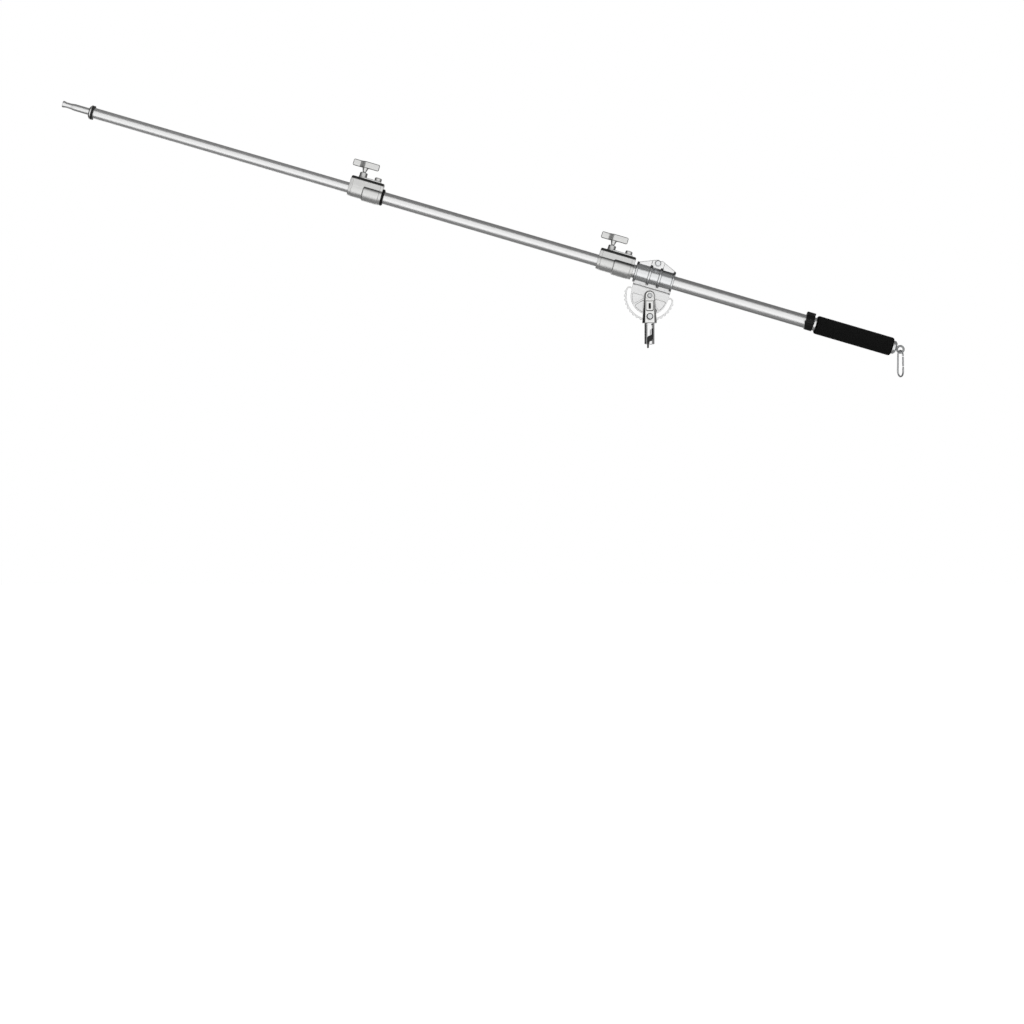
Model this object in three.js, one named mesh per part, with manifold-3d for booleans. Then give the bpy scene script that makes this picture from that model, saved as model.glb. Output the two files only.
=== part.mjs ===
// An overhead boom arm for a lighting stand: three steel tubes that telescope, held by two
// clamp collars, carried in a split sleeve on a half-moon plate that tilts in a yoke. The yoke
// ends in a socket that drops over a stand's stud. The far end carries a lamp stud, the near
// end a stop clip, a foam grip and an eye with a spring hook.
//
// Frame: millimetres, +Z up, origin at the centre of the socket's mouth, +X towards the grip,
// the tilt axis along Y. Along the boom every place is a distance from the tilt axis, and
// across it a height above the boom's own centre line.

import * as THREE from "three";
import { mergeVertices } from "three/addons/utils/BufferGeometryUtils.js";
import Module from "manifold-3d";

const wasm = await Module();
wasm.setup();

// Facets and clearances
const tubeSides = 32;
const roundSides = 24;
const smallSides = 12;
const arcSteps = 6;
const bendSteps = 18;
const edgeSteps = 3;
const hexSides = 6;
const weldDistance = 1e-4;
const gap = 0.3;
const overrun = 5;

// Pose of the boom as it is stored
const tiltAngle = THREE.MathUtils.degToRad(16.33);

// Tubes
const tubeWall = 1.3;
const outerTubeRadius = 15.9;
const outerTubeBore = outerTubeRadius - tubeWall;
const midTubeRadius = outerTubeBore - gap;
const midTubeBore = midTubeRadius - tubeWall;
const innerTubeRadius = midTubeBore - gap;
const innerTubeBore = innerTubeRadius - tubeWall;
const midTubeShown = 521.7;
const innerTubeShown = 623;
const midTubeOverlap = 130;
const innerTubeOverlap = 94;
const tubeShoulderGap = 1.7;

// Glides that close the hidden ends of the two sliding tubes
const glideStem = 12;
const glideFlange = 3;

// Split sleeve that carries the boom
const sleeveFront = -49.6;
const sleeveLength = 94.3;
const sleeveRear = sleeveFront + sleeveLength;
const linerWall = 0.8;
const linerInset = 1;
const sleeveBore = outerTubeRadius + gap + linerWall + gap;
const sleeveWall = 1.5;
const sleeveRadius = sleeveBore + sleeveWall;
const ribHeight = 3.2;
const ribWidth = 4.7;
const ribRound = 1.2;
const ribPlaceShares = [0.025, 0.374, 0.638, 0.975];
const slitWidth = 3;

// Ears of the sleeve: a low triangle with a square pad round the clamp bolt
const earPeak = 43.9;
const earSlope = 0.41;
const earWebHalf = 7;
const earPadHalf = 11;
const earPadFront = -16.3;
const earPadRear = 13.4;
const earNotchFront = -2.8;
const earNotchRear = 6.4;
const earNotchDepth = 4.2;
const clampBoltPlace = -2.6;
const clampBoltHeight = 32;

// Foot of the sleeve, slotted for the half-moon plate
const footDrop = 29;
const footHalfWidth = 8;
const footInset = 4;
const tongueRise = 8;
const platePinRadius = 2.5;
const platePinSpread = 30;

// Half-moon plate
const boomRise = 45.6;
const plateHalf = 3;
const slotCentreRadius = 49;
const slotHalf = 5;
const bandWidth = 3;
const toothDepth = 2.5;
const toothCount = 18;
const stepsPerTooth = 4;
const pocketCount = 4;
const slotEndRise = 1;
const pocketDepth = 1.5;
const pocketOuterRadius = 40;
const pocketInnerRadius = 15;
const pocketTopRise = 3;
const spokeHalf = 2.6;
const stripHalfLength = 45;
const tongueHalfLength = 40;

// Yoke and its bolts
const pivotHeight = 113.5;
const yokeBottom = 49.5;
const washerThickness = 1;
const cheekInner = plateHalf + gap + washerThickness + gap;
const cheekThickness = 8;
const cheekOuter = cheekInner + cheekThickness;
const cheekTopRadius = 12.5;
const cheekBottomHalf = 16.8;
const cheekRecessDepth = 2;
const cheekRecessHalf = 9;
const cheekRecessTop = 11.5;
const cheekRecessBottom = 36.5;
const cheekSlotHalf = 2.5;
const cheekSlotLength = 13.5;
const cheekSlotDrop = 24;
const bossRingRadius = 10;
const bossRingRise = 1;
const webHeight = 3.7;
const boltRadius = 4;
const boltHole = boltRadius + gap;
const washerRadius = 9;
const pivotHeadRadius = 5.6;
const pivotHeadHeight = 4.5;
const pivotNutRadius = 7.5;
const nutHeight = 6.5;
const boltTail = 3;
const pivotHeadBevel = 2;
const capHeadBevel = 1;
const hexRadius = 3;
const hexDepth = 3;
const capHeadRadius = 7.2;
const capHeadHeight = 8;
const tiltLockDrop = slotCentreRadius;
const lockWasherRadius = 8;
const lockWasherThickness = 1.5;

// Stand socket
const socketRadius = 11.75;
const socketBore = 8.2;
const spigotLength = 8;
const socketPinRadius = 1.6;
const socketPinSpread = 5.2;
const socketPinDrop = 3.8;
const socketScrewHeight = 12.4;
const socketBossRadius = 6.5;
const socketBossReach = 16;
const socketEdge = 0.8;

// Screws with a T-shaped handle: a long one on the collars, a short one on the head
const longHandle = {
  waistRadius: 4.9,
  hubRadius: 7.6,
  coneHeight: 10.5,
  barLength: 64,
  barHeight: 14.5,
  barThickness: 4.6,
  barOffset: 3,
  barRound: 2.2,
  twist: THREE.MathUtils.degToRad(7),
};
const shortHandle = {
  waistRadius: 5.2,
  hubRadius: 7.4,
  coneHeight: 4,
  barLength: 46,
  barHeight: 10,
  barThickness: 4,
  barOffset: 2.8,
  barRound: 2,
  twist: THREE.MathUtils.degToRad(7),
};
const handleBoreDepth = 9;
const clampScrewRadius = 4;
const socketScrewRadius = 3;
const padThickness = 2.4;
const shownThread = 1.8;

// Clamp collars
const collarTaper = 7;
const collarTaperDepth = 1.5;
const collarBlockHalf = 18;
const collarBlockRound = 6.5;
const collarPadHalf = 9;
const collarPadRise = 3;
const collarBossRadius = 8.4;
const collarBossTop = 44;
const collarBossBevel = 2;
const lockHeadRadius = 8.4;
const lockHeadHeight = 8;
const lockHeadBevel = 1.6;
const lockShankRadius = 3;
const collarLockPlaceShare = 0.765;
const collarPadEndShare = 0.88;
const frontCollar = {
  length: 80,
  step: 44.7,
  frontRadius: 18,
  rearRadius: 21,
  blockTop: 30.5,
  bossPlaceShare: 0.298,
};
const rearCollar = {
  length: 86,
  step: 39,
  frontRadius: 20.2,
  rearRadius: 23,
  blockTop: 31.5,
  bossPlaceShare: 0.488,
};
const collarEndRingWidth = 6.7;
const collarEndRingRadius = 20;
const boomStopGap = 5.2;

// Lamp stud at the far end
const studRadius = 8;
const studNeckRadius = 6.6;
const studTipRadius = 7.4;
const studTipLength = 6.4;
const studNeckLength = 21.3;
const studShoulder = 2.4;
const studBodyLength = 35;
const flangeRadius = 16.75;
const flangeWidth = 7.3;
const studPlugLength = 22;
const rubberRingWidth = 6.7;
const rubberRingRadius = 17.2;

// Stop clip, grip, plug and eye at the near end
const boomTravel = 322;
const clipLength = 20.5;
const clipRadius = 18.5;
const clipLugTop = 23.8;
const clipLugHalf = 9;
const clipLugInset = 1.4;
const clipEarHalf = 4.4;
const clipEarLead = 2;
const clipSplitHalf = 0.4;
const clipScrewRadius = 1.6;
const clipScrewHeadRadius = 3;
const clipScrewHeadHeight = 2;
const clipScrewSpread = clipRadius + clipScrewHeadRadius + gap;
const clipEarReach = clipScrewSpread + clipScrewHeadRadius;
const clipToGrip = 5.5;
const gripLength = 188;
const gripRadius = 21.75;
const gripRound = 3;
const tubeTail = 2.3;
const plugStemLength = 22;
const plugHeadLength = 7;
const plugHeadBevel = 4;
const eyeRadius = 10.2;
const eyeHole = 5.2;
const eyeHalfThickness = 1.9;
const eyeStemRadius = 3;
const eyeStemDepth = 14;

// Spring hook that hangs in the eye
const hookWireRadius = 2;
const hookTopRadius = 12;
const hookBottomRadius = 13;
const hookLength = 65;
const hookTurn = THREE.MathUtils.degToRad(52);
const hookHangOffset = 0.8;
const hookSides = 8;
const hookSteps = 44;
const gateLength = 27;
const gateNoseRise = 1.2;
const gatePinRadius = 0.75;
const gateTongueHalf = 0.85;
const gateForkDepth = 3.2;
const gateSpringRadius = 1;
const gateSpringLength = 9;

// Places along the boom that follow from the sizes above
const rearCollarEnd = sleeveFront - boomStopGap;
const rearCollarStep = rearCollarEnd - rearCollar.step;
const frontRingEnd = rearCollarEnd - rearCollar.length - midTubeShown;
const frontCollarEnd = frontRingEnd - collarEndRingWidth - gap;
const frontCollarStep = frontCollarEnd - frontCollar.step;
const rubberRingEnd = frontCollarEnd - frontCollar.length - innerTubeShown;
const flangeFace = rubberRingEnd - rubberRingWidth;
const innerTubeEnd = frontCollarEnd - frontCollar.length + innerTubeOverlap;
const midTubeEnd = rearCollarEnd - rearCollar.length + midTubeOverlap;
const clipStart = sleeveRear + boomTravel;
const gripStart = clipStart + clipLength + clipToGrip;
const gripEnd = gripStart + gripLength;
const outerTubeEnd = gripEnd + tubeTail;
const plugEnd = outerTubeEnd + gap + plugHeadLength;
const eyePlace = plugEnd + gap + eyeRadius;

// How far a bolt reaches past the face that its washer and handle clamp
const lockGrip = lockWasherThickness + gap + shownThread + handleBoreDepth;

/** A finish for one kind of surface. */
function finish(color, roughness, metalness) {
  return () => new THREE.MeshStandardMaterial({ color, roughness, metalness });
}

const brightSteel = finish(0xd4d6d8, 0.25, 1);
const satinCasting = finish(0xbfc1c2, 0.45, 0.9);
const greyCasting = finish(0xc9cacb, 0.6, 0.8);
const screwSteel = finish(0x9c9fa3, 0.35, 1);
const blackPlastic = finish(0x161616, 0.55, 0);
const blackRubber = finish(0x0d0d0d, 0.8, 0);
const blackFoam = finish(0x121212, 0.95, 0);
const whiteNylon = finish(0xe6e3da, 0.5, 0);
const brass = finish(0xb08d4a, 0.35, 1);

/** A closed geometry as a solid that can be joined and cut. */
function toSolid(geometry) {
  geometry.deleteAttribute("normal");
  geometry.deleteAttribute("uv");
  const merged = mergeVertices(geometry, weldDistance);
  const corners = merged.index.array;
  const triVerts = [];
  for (let i = 0; i < corners.length; i += 3) {
    const [a, b, c] = [corners[i], corners[i + 1], corners[i + 2]];
    if (a !== b && b !== c && c !== a) {
      triVerts.push(a, b, c);
    }
  }
  return new wasm.Manifold(
    new wasm.Mesh({
      numProp: 3,
      vertProperties: new Float32Array(merged.attributes.position.array),
      triVerts: new Uint32Array(triVerts),
    }),
  );
}

/** The first solid with all the others added. */
function join(first, ...others) {
  return others.reduce((sum, other) => sum.add(other), first);
}

/** The first solid with all the others taken away. */
function cut(first, ...others) {
  return others.reduce((rest, other) => rest.subtract(other), first);
}

/** A solid's surface as a geometry. */
function toGeometry(solid) {
  const mesh = solid.getMesh();
  const geometry = new THREE.BufferGeometry();
  geometry.setAttribute("position", new THREE.BufferAttribute(mesh.vertProperties, 3));
  geometry.setIndex(new THREE.BufferAttribute(mesh.triVerts, 1));
  geometry.computeVertexNormals();
  return geometry;
}

/** Turns a geometry made along Y so that it points along the named axis. */
function aim(geometry, axis) {
  if (axis === "x") {
    geometry.rotateZ(-Math.PI / 2);
  }
  if (axis === "z") {
    geometry.rotateX(Math.PI / 2);
  }
  return geometry;
}

/** A turned solid: its closed outline lists [distance along the axis, radius] points. */
function turned(outline, axis, sides = roundSides) {
  let area = 0;
  outline.forEach(([along, radius], i) => {
    const [nextAlong, nextRadius] = outline[(i + 1) % outline.length];
    area += radius * nextAlong - nextRadius * along;
  });
  const points = outline.map(([along, radius]) => new THREE.Vector2(radius, along));
  points.push(points[0].clone());
  if (area < 0) {
    points.reverse();
  }
  return toSolid(aim(new THREE.LatheGeometry(points, sides), axis));
}

/** A round rod between two places on an axis. */
function rod(radius, from, to, axis, sides = roundSides) {
  return turned([[from, 0], [from, radius], [to, radius], [to, 0]], axis, sides);
}

/** A round rod along Y that stands away from the axis, at a place and a height. */
function crossRod(radius, place, height, from, to, sides = smallSides) {
  const geometry = new THREE.CylinderGeometry(radius, radius, to - from, sides);
  return toSolid(geometry.translate(place, (from + to) / 2, height));
}

/** A round rod along Z that stands away from the axis. */
function uprightRod(radius, x, y, from, to, sides = smallSides) {
  const geometry = aim(new THREE.CylinderGeometry(radius, radius, to - from, sides), "z");
  return toSolid(geometry.translate(x, y, (from + to) / 2));
}

/** A ring between two radii. */
function ring(innerRadius, outerRadius, from, to, axis, sides = roundSides) {
  const outline = [[from, innerRadius], [from, outerRadius], [to, outerRadius], [to, innerRadius]];
  return turned(outline, axis, sides);
}

/** A box between two corners. */
function box([x0, y0, z0], [x1, y1, z1]) {
  const geometry = new THREE.BoxGeometry(x1 - x0, y1 - y0, z1 - z0);
  return toSolid(geometry.translate((x0 + x1) / 2, (y0 + y1) / 2, (z0 + z1) / 2));
}

/** A flat plate: an outline in X and Z, from one Y to another. */
function plate(shape, from, to, curveSegments = arcSteps) {
  const geometry = new THREE.ExtrudeGeometry(shape, {
    depth: to - from,
    bevelEnabled: false,
    curveSegments,
  });
  return toSolid(geometry.rotateX(Math.PI / 2).translate(0, to, 0));
}

/** An outline through a list of [x, y] points. */
function outlineOf(points) {
  return new THREE.Shape(points.map(([x, y]) => new THREE.Vector2(x, y)));
}

/** A rectangle with round corners. */
function roundedRectangle(x0, x1, y0, y1, radius) {
  const shape = new THREE.Shape();
  shape.moveTo(x0 + radius, y0);
  shape.absarc(x1 - radius, y0 + radius, radius, -Math.PI / 2, 0);
  shape.absarc(x1 - radius, y1 - radius, radius, 0, Math.PI / 2);
  shape.absarc(x0 + radius, y1 - radius, radius, Math.PI / 2, Math.PI);
  shape.absarc(x0 + radius, y0 + radius, radius, Math.PI, 1.5 * Math.PI);
  return shape;
}

/** Part of a ring seen along Y, between two angles. */
function sector(innerRadius, outerRadius, fromAngle, toAngle) {
  const shape = new THREE.Shape();
  shape.absarc(0, 0, outerRadius, fromAngle, toAngle, false);
  shape.absarc(0, 0, innerRadius, toAngle, fromAngle, true);
  return shape;
}

/** A mesh with a name and a finish, added to a group. */
function addPart(parent, name, solid, material) {
  const mesh = new THREE.Mesh(toGeometry(solid), material());
  mesh.name = name;
  parent.add(mesh);
  return mesh;
}

/** A group placed in its parent. */
function addGroup(parent, position, rotation = [0, 0, 0]) {
  const group = new THREE.Group();
  group.position.set(...position);
  group.rotation.set(...rotation);
  parent.add(group);
  return group;
}

/** A tube of the boom between two places. */
function boomTube(bore, radius, from, to) {
  return ring(bore, radius, from, to, "x", tubeSides);
}

/** A nylon plug with a flange that closes a tube's hidden end. */
function glide(tubeRadius, tubeBore, end) {
  const stem = tubeBore - gap;
  const start = end - glideStem;
  const seat = end + gap;
  return turned(
    [[start, 0], [start, stem], [seat, stem], [seat, tubeRadius], [seat + glideFlange, tubeRadius],
      [seat + glideFlange, 0]],
    "x",
    tubeSides,
  );
}

/** One wing of a T-shaped handle, on the side given by 1 or -1. */
function handleWing(size, side) {
  const { barLength, barHeight, barThickness, barOffset, barRound, twist } = size;
  const outline = roundedRectangle(0, barLength / 2, -barHeight / 2, barHeight / 2, barRound);
  const geometry = new THREE.ExtrudeGeometry(outline, {
    depth: barThickness,
    bevelEnabled: false,
    curveSegments: arcSteps / 2,
  });
  geometry.translate(0, 0, -barThickness / 2).rotateX(Math.PI / 2 + twist);
  geometry.translate(0, -barOffset, size.coneHeight + barHeight / 2);
  if (side < 0) {
    geometry.rotateZ(Math.PI);
  }
  return toSolid(geometry);
}

/** A T-shaped handle on the Z axis, its waist at zero, bored from below for its screw. */
function tHandle(size, screwRadius) {
  const top = size.coneHeight + size.barHeight;
  const hub = turned(
    [[0, 0], [0, size.waistRadius], [size.coneHeight, size.hubRadius],
      [top - size.barRound, size.hubRadius], [top, size.hubRadius - size.barRound], [top, 0]],
    "z",
  );
  const bore = rod(screwRadius + gap, -overrun, handleBoreDepth, "z", smallSides);
  return cut(join(hub, handleWing(size, 1), handleWing(size, -1)), bore);
}

/** A screw that carries a pad at its tip and a T-shaped handle: parts along Z from the pad. */
function addClampScrew(parent, name, screwRadius, bossTop, size, wingTurn) {
  const screwStart = padThickness + gap;
  const handleStart = bossTop + shownThread;
  const screwEnd = handleStart + handleBoreDepth - gap;
  addPart(parent, `${name}_pad`, rod(screwRadius, 0, padThickness, "z", smallSides), brass);
  addPart(parent, `${name}_screw`, rod(screwRadius, screwStart, screwEnd, "z", smallSides), screwSteel);
  const handle = addGroup(parent, [0, 0, handleStart], [0, 0, wingTurn]);
  addPart(handle, `${name}_handle`, tHandle(size, screwRadius), satinCasting);
}

/** A bolt along Z: a domed or square head on top at zero, its shank below. */
function bolt(headRadius, headHeight, bevel, length) {
  const body = turned(
    [[-length, 0], [-length, boltRadius], [0, boltRadius], [0, headRadius],
      [headHeight - bevel, headRadius], [headHeight, headRadius - bevel], [headHeight, 0]],
    "z",
    smallSides,
  );
  const hex = rod(hexRadius, headHeight - hexDepth, headHeight + overrun, "z", hexSides);
  return cut(body, hex);
}

/** Where a collar's clamp screw stands: over the front part, clear of the tube behind the step. */
function collarBossPlace({ length, step, bossPlaceShare }) {
  return -step - bossPlaceShare * (length - step);
}

/** A clamp collar's casting, its rear face at zero and its body towards -X. */
function collarCasting(size, frontBore, rearBore) {
  const { length, step, frontRadius, rearRadius, blockTop } = size;
  const bossPlace = collarBossPlace(size);
  const lockPlace = -length * (1 - collarLockPlaceShare);
  const sleeves = turned(
    [[-length, 0], [-length, frontRadius - collarTaperDepth], [-length + collarTaper, frontRadius],
      [-step, frontRadius], [-step, rearRadius], [-collarTaper, rearRadius],
      [0, rearRadius - collarTaperDepth], [0, 0]],
    "x",
    tubeSides,
  );
  const half = collarBlockHalf;
  const blockOutline = roundedRectangle(-length, 0, -half, half, collarBlockRound);
  const blockGeometry = new THREE.ExtrudeGeometry(blockOutline, {
    depth: blockTop,
    bevelEnabled: false,
    curveSegments: arcSteps,
  });
  const padTop = blockTop + collarPadRise;
  const padEnd = -length * (1 - collarPadEndShare);
  const raisedPad = box([bossPlace, -collarPadHalf, 0], [padEnd, collarPadHalf, padTop]);
  const bossGeometry = new THREE.LatheGeometry(
    [[0, 0], [collarBossRadius, 0], [collarBossRadius, collarBossTop - collarBossBevel],
      [collarBossRadius - collarBossBevel, collarBossTop], [0, collarBossTop]]
      .map(([radius, height]) => new THREE.Vector2(radius, height)),
    roundSides,
  );
  const boss = toSolid(aim(bossGeometry, "z").translate(bossPlace, 0, 0));
  return cut(
    join(sleeves, toSolid(blockGeometry), raisedPad, boss),
    rod(frontBore, -length - overrun, -step, "x", tubeSides),
    rod(rearBore, -step, overrun, "x", tubeSides),
    uprightRod(clampScrewRadius + gap, bossPlace, 0, 0, collarBossTop + overrun),
    uprightRod(lockShankRadius + gap, lockPlace, 0, 0, padTop + overrun),
  );
}

/** The short screw that locks a collar to its own tube, its head on the raised pad. */
function lockScrew(size, tubeRadius) {
  const seat = size.blockTop + collarPadRise;
  const top = seat + lockHeadHeight;
  const tip = tubeRadius + gap;
  const body = turned(
    [[tip, 0], [tip, lockShankRadius], [seat, lockShankRadius], [seat, lockHeadRadius],
      [top - lockHeadBevel, lockHeadRadius], [top, lockHeadRadius - lockHeadBevel], [top, 0]],
    "z",
  );
  return cut(body, rod(hexRadius, top - hexDepth, top + overrun, "z", hexSides));
}

/** A collar with its lock screw and its T-handled clamp screw. */
function addCollar(parent, name, size, clampedRadius, ownRadius) {
  const lockPlace = -size.length * (1 - collarLockPlaceShare);
  const casting = collarCasting(size, clampedRadius + gap, ownRadius + gap);
  addPart(parent, `${name}_casting`, casting, satinCasting);
  const lockGroup = addGroup(parent, [lockPlace, 0, 0]);
  addPart(lockGroup, `${name}_lock_screw`, lockScrew(size, ownRadius), satinCasting);
  const padFace = clampedRadius + gap;
  const screwGroup = addGroup(parent, [collarBossPlace(size), 0, padFace]);
  addClampScrew(screwGroup, name, clampScrewRadius, collarBossTop - padFace, longHandle, 0);
}

/** The yoke's side view: a round top at the tilt axis, flaring down to the socket. */
function cheekOutline(bottom) {
  const shape = new THREE.Shape();
  shape.moveTo(-cheekBottomHalf, bottom);
  shape.lineTo(cheekBottomHalf, bottom);
  shape.lineTo(cheekTopRadius, 0);
  shape.absarc(0, 0, cheekTopRadius, 0, Math.PI);
  return shape;
}

/** The yoke: two cheeks joined by a web, with a spigot for the socket, tilt axis at zero. */
function yoke() {
  const bottom = yokeBottom - pivotHeight;
  const outline = cheekOutline(bottom);
  const spigotRadius = socketBore - gap;
  const body = join(
    plate(outline, -cheekOuter, -cheekInner, 2 * arcSteps),
    plate(outline, cheekInner, cheekOuter, 2 * arcSteps),
    box([-cheekBottomHalf, -cheekInner, bottom], [cheekBottomHalf, cheekInner, bottom + webHeight]),
    crossRod(bossRingRadius, 0, 0, -cheekOuter - bossRingRise, -cheekInner, roundSides),
    crossRod(bossRingRadius, 0, 0, cheekInner, cheekOuter + bossRingRise, roundSides),
    rod(spigotRadius, bottom - spigotLength, bottom + webHeight, "z"),
  );
  const recessTop = -cheekRecessTop;
  const recess = box(
    [-cheekRecessHalf, -cheekOuter - overrun, -cheekRecessBottom],
    [cheekRecessHalf, -cheekOuter + cheekRecessDepth, recessTop],
  );
  const slotTop = cheekSlotLength / 2 - cheekSlotDrop;
  const slot = box(
    [-cheekSlotHalf, -cheekOuter - overrun, slotTop - cheekSlotLength],
    [cheekSlotHalf, -cheekInner + overrun, slotTop],
  );
  const reach = cheekOuter + overrun;
  const pinHeight = bottom - socketPinDrop;
  return cut(
    body,
    recess,
    slot,
    crossRod(boltHole, 0, 0, -reach, reach),
    crossRod(boltHole, 0, -tiltLockDrop, -reach, reach),
    crossRod(socketPinRadius + gap, -socketPinSpread, pinHeight, -reach, reach),
    crossRod(socketPinRadius + gap, socketPinSpread, pinHeight, -reach, reach),
  );
}

/** The socket tube with its threaded boss, its mouth at zero. */
function standSocket() {
  const top = yokeBottom;
  const tube = turned(
    [[0, socketBore], [0, socketRadius - socketEdge], [socketEdge, socketRadius],
      [top, socketRadius], [top, socketBore]],
    "z",
  );
  const boss = crossRod(socketBossRadius, 0, socketScrewHeight, -socketBossReach, 0);
  const pinHeight = top - socketPinDrop;
  const reach = socketRadius + overrun;
  return cut(
    join(tube, boss),
    rod(socketBore, -overrun, top - gap, "z"),
    crossRod(socketScrewRadius + gap, 0, socketScrewHeight, -socketBossReach - overrun, 0),
    crossRod(socketPinRadius + gap, -socketPinSpread, pinHeight, -reach, reach),
    crossRod(socketPinRadius + gap, socketPinSpread, pinHeight, -reach, reach),
  );
}

/** The yoke end of the arm: everything that stays with the stand. */
function addStandHead(parent) {
  addPart(parent, "stand_socket", standSocket(), brightSteel);
  const pinReach = Math.sqrt(socketRadius ** 2 - (socketPinSpread + socketPinRadius) ** 2);
  for (const [side, sign] of [["left", -1], ["right", 1]]) {
    const pin = crossRod(
      socketPinRadius, sign * socketPinSpread, yokeBottom - socketPinDrop, -pinReach, pinReach,
    );
    addPart(parent, `socket_pin_${side}`, pin, screwSteel);
  }
  const screwGroup = addGroup(
    parent, [0, -socketBore - gap / 2, socketScrewHeight], [Math.PI / 2, 0, 0],
  );
  const bossTop = socketBossReach - socketBore;
  addClampScrew(screwGroup, "socket", socketScrewRadius, bossTop, shortHandle, Math.PI / 2);

  const axis = addGroup(parent, [0, 0, pivotHeight]);
  addPart(axis, "yoke", yoke(), satinCasting);
  const headSeat = cheekOuter + bossRingRise;
  const pivotBoltLength = 2 * headSeat + nutHeight + boltTail;
  const headGroup = addGroup(axis, [0, -headSeat, 0], [Math.PI / 2, 0, 0]);
  const pivotBolt = bolt(pivotHeadRadius, pivotHeadHeight, pivotHeadBevel, pivotBoltLength);
  addPart(headGroup, "pivot_bolt", pivotBolt, screwSteel);
  const nut = cut(
    rod(pivotNutRadius, headSeat, headSeat + nutHeight, "y", hexSides),
    rod(boltHole, headSeat - overrun, headSeat + nutHeight + overrun, "y", smallSides),
  );
  addPart(axis, "pivot_nut", nut, screwSteel);
  for (const [side, sign] of [["front", -1], ["rear", 1]]) {
    const near = sign * (plateHalf + gap);
    const far = sign * (plateHalf + gap + washerThickness);
    const washer = ring(boltHole, washerRadius, Math.min(near, far), Math.max(near, far), "y");
    addPart(axis, `pivot_washer_${side}`, washer, whiteNylon);
  }
  const lockGroup = addGroup(axis, [0, -cheekOuter, -tiltLockDrop], [Math.PI / 2, 0, 0]);
  const lockBolt = bolt(capHeadRadius, capHeadHeight, capHeadBevel, 2 * cheekOuter + lockGrip);
  addPart(lockGroup, "tilt_lock_bolt", lockBolt, screwSteel);
  const rearGroup = addGroup(axis, [0, cheekOuter, -tiltLockDrop], [-Math.PI / 2, 0, 0]);
  addLockHandle(rearGroup, "tilt_lock", Math.PI / 2);
}

/** A washer and a T-shaped handle on a bolt's threaded end, along Z from the face it clamps. */
function addLockHandle(parent, name, wingTurn) {
  const washerEnd = gap + lockWasherThickness;
  const washer = ring(boltHole, lockWasherRadius, gap, washerEnd, "z", roundSides);
  addPart(parent, `${name}_washer`, washer, screwSteel);
  const handle = addGroup(parent, [0, 0, washerEnd + gap + shownThread], [0, 0, wingTurn]);
  addPart(handle, `${name}_handle`, tHandle(shortHandle, boltRadius), satinCasting);
}

/** The sleeve's barrel with its four raised ribs. */
function ribbedBarrel() {
  const outline = [[sleeveFront, 0], [sleeveFront, sleeveRadius]];
  const ribRadius = sleeveRadius + ribHeight;
  for (const share of ribPlaceShares) {
    const centre = sleeveFront + share * sleeveLength;
    const from = Math.max(centre - ribWidth / 2, sleeveFront);
    const to = Math.min(centre + ribWidth / 2, sleeveRear);
    outline.push(
      [from, sleeveRadius], [from, ribRadius - ribRound], [from + ribRound, ribRadius],
      [to - ribRound, ribRadius], [to, ribRadius - ribRound], [to, sleeveRadius],
    );
  }
  outline.push([sleeveRear, sleeveRadius], [sleeveRear, 0]);
  const distinct = outline.filter(([along, radius], i) => {
    const [lastAlong, lastRadius] = outline[(i + outline.length - 1) % outline.length];
    return along !== lastAlong || radius !== lastRadius;
  });
  return turned(distinct, "x", tubeSides);
}

/** Side view of the sleeve's ears: a low triangle with a small notch beside its peak. */
function earOutline() {
  const front = sleeveFront + ribWidth / 2;
  const rear = sleeveRear - ribWidth / 2;
  const height = (place) => earPeak - earSlope * Math.abs(place);
  const notchMiddle = (earNotchFront + earNotchRear) / 2;
  return outlineOf([
    [front, 0],
    [rear, 0],
    [rear, height(rear)],
    [earNotchRear, height(earNotchRear)],
    [notchMiddle, height(notchMiddle) - earNotchDepth],
    [earNotchFront, height(earNotchFront)],
    [front, height(front)],
  ]);
}

/** The split sleeve: barrel, ribs, ears with the clamp bolt's hole, and slotted foot. */
function clampSleeve() {
  const ears = earOutline();
  const pad = plate(ears, -earPadHalf, earPadHalf).intersect(
    box([earPadFront, -earPadHalf - overrun, 0], [earPadRear, earPadHalf + overrun, earPeak + overrun]),
  );
  const footFront = sleeveFront + footInset;
  const footRear = sleeveRear;
  const foot = box([footFront, -footHalfWidth, -footDrop], [footRear, footHalfWidth, 0]);
  const tongueTop = -footDrop + tongueRise + gap;
  const tongueSlot = box(
    [footFront - overrun, -plateHalf - gap, -footDrop - overrun],
    [footRear + overrun, plateHalf + gap, tongueTop],
  );
  const slit = box(
    [sleeveFront - overrun, -slitWidth / 2, 0],
    [sleeveRear + overrun, slitWidth / 2, earPeak + overrun],
  );
  const reach = earPadHalf + overrun;
  const pinHole = platePinRadius + gap;
  const pinHeight = -footDrop + tongueRise / 2;
  return cut(
    join(ribbedBarrel(), plate(ears, -earWebHalf, earWebHalf), pad, foot),
    rod(sleeveBore, sleeveFront - overrun, sleeveRear + overrun, "x", tubeSides),
    slit,
    tongueSlot,
    crossRod(boltHole, clampBoltPlace, clampBoltHeight, -reach, reach),
    crossRod(pinHole, -platePinSpread, pinHeight, -reach, reach),
    crossRod(pinHole, platePinSpread, pinHeight, -reach, reach),
  );
}

/** Side view of the plate's toothed lower half, round the tilt axis. */
function toothedHalf() {
  const root = slotCentreRadius + slotHalf + bandWidth;
  const steps = toothCount * stepsPerTooth;
  const points = [];
  for (let i = 0; i <= steps; i += 1) {
    const angle = Math.PI * (1 + i / steps);
    const wave = 0.5 - 0.5 * Math.cos((2 * Math.PI * i) / stepsPerTooth);
    const radius = root + toothDepth * wave;
    points.push([radius * Math.cos(angle), radius * Math.sin(angle)]);
  }
  points.push([root, slotEndRise], [-root, slotEndRise]);
  return outlineOf(points);
}

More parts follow.
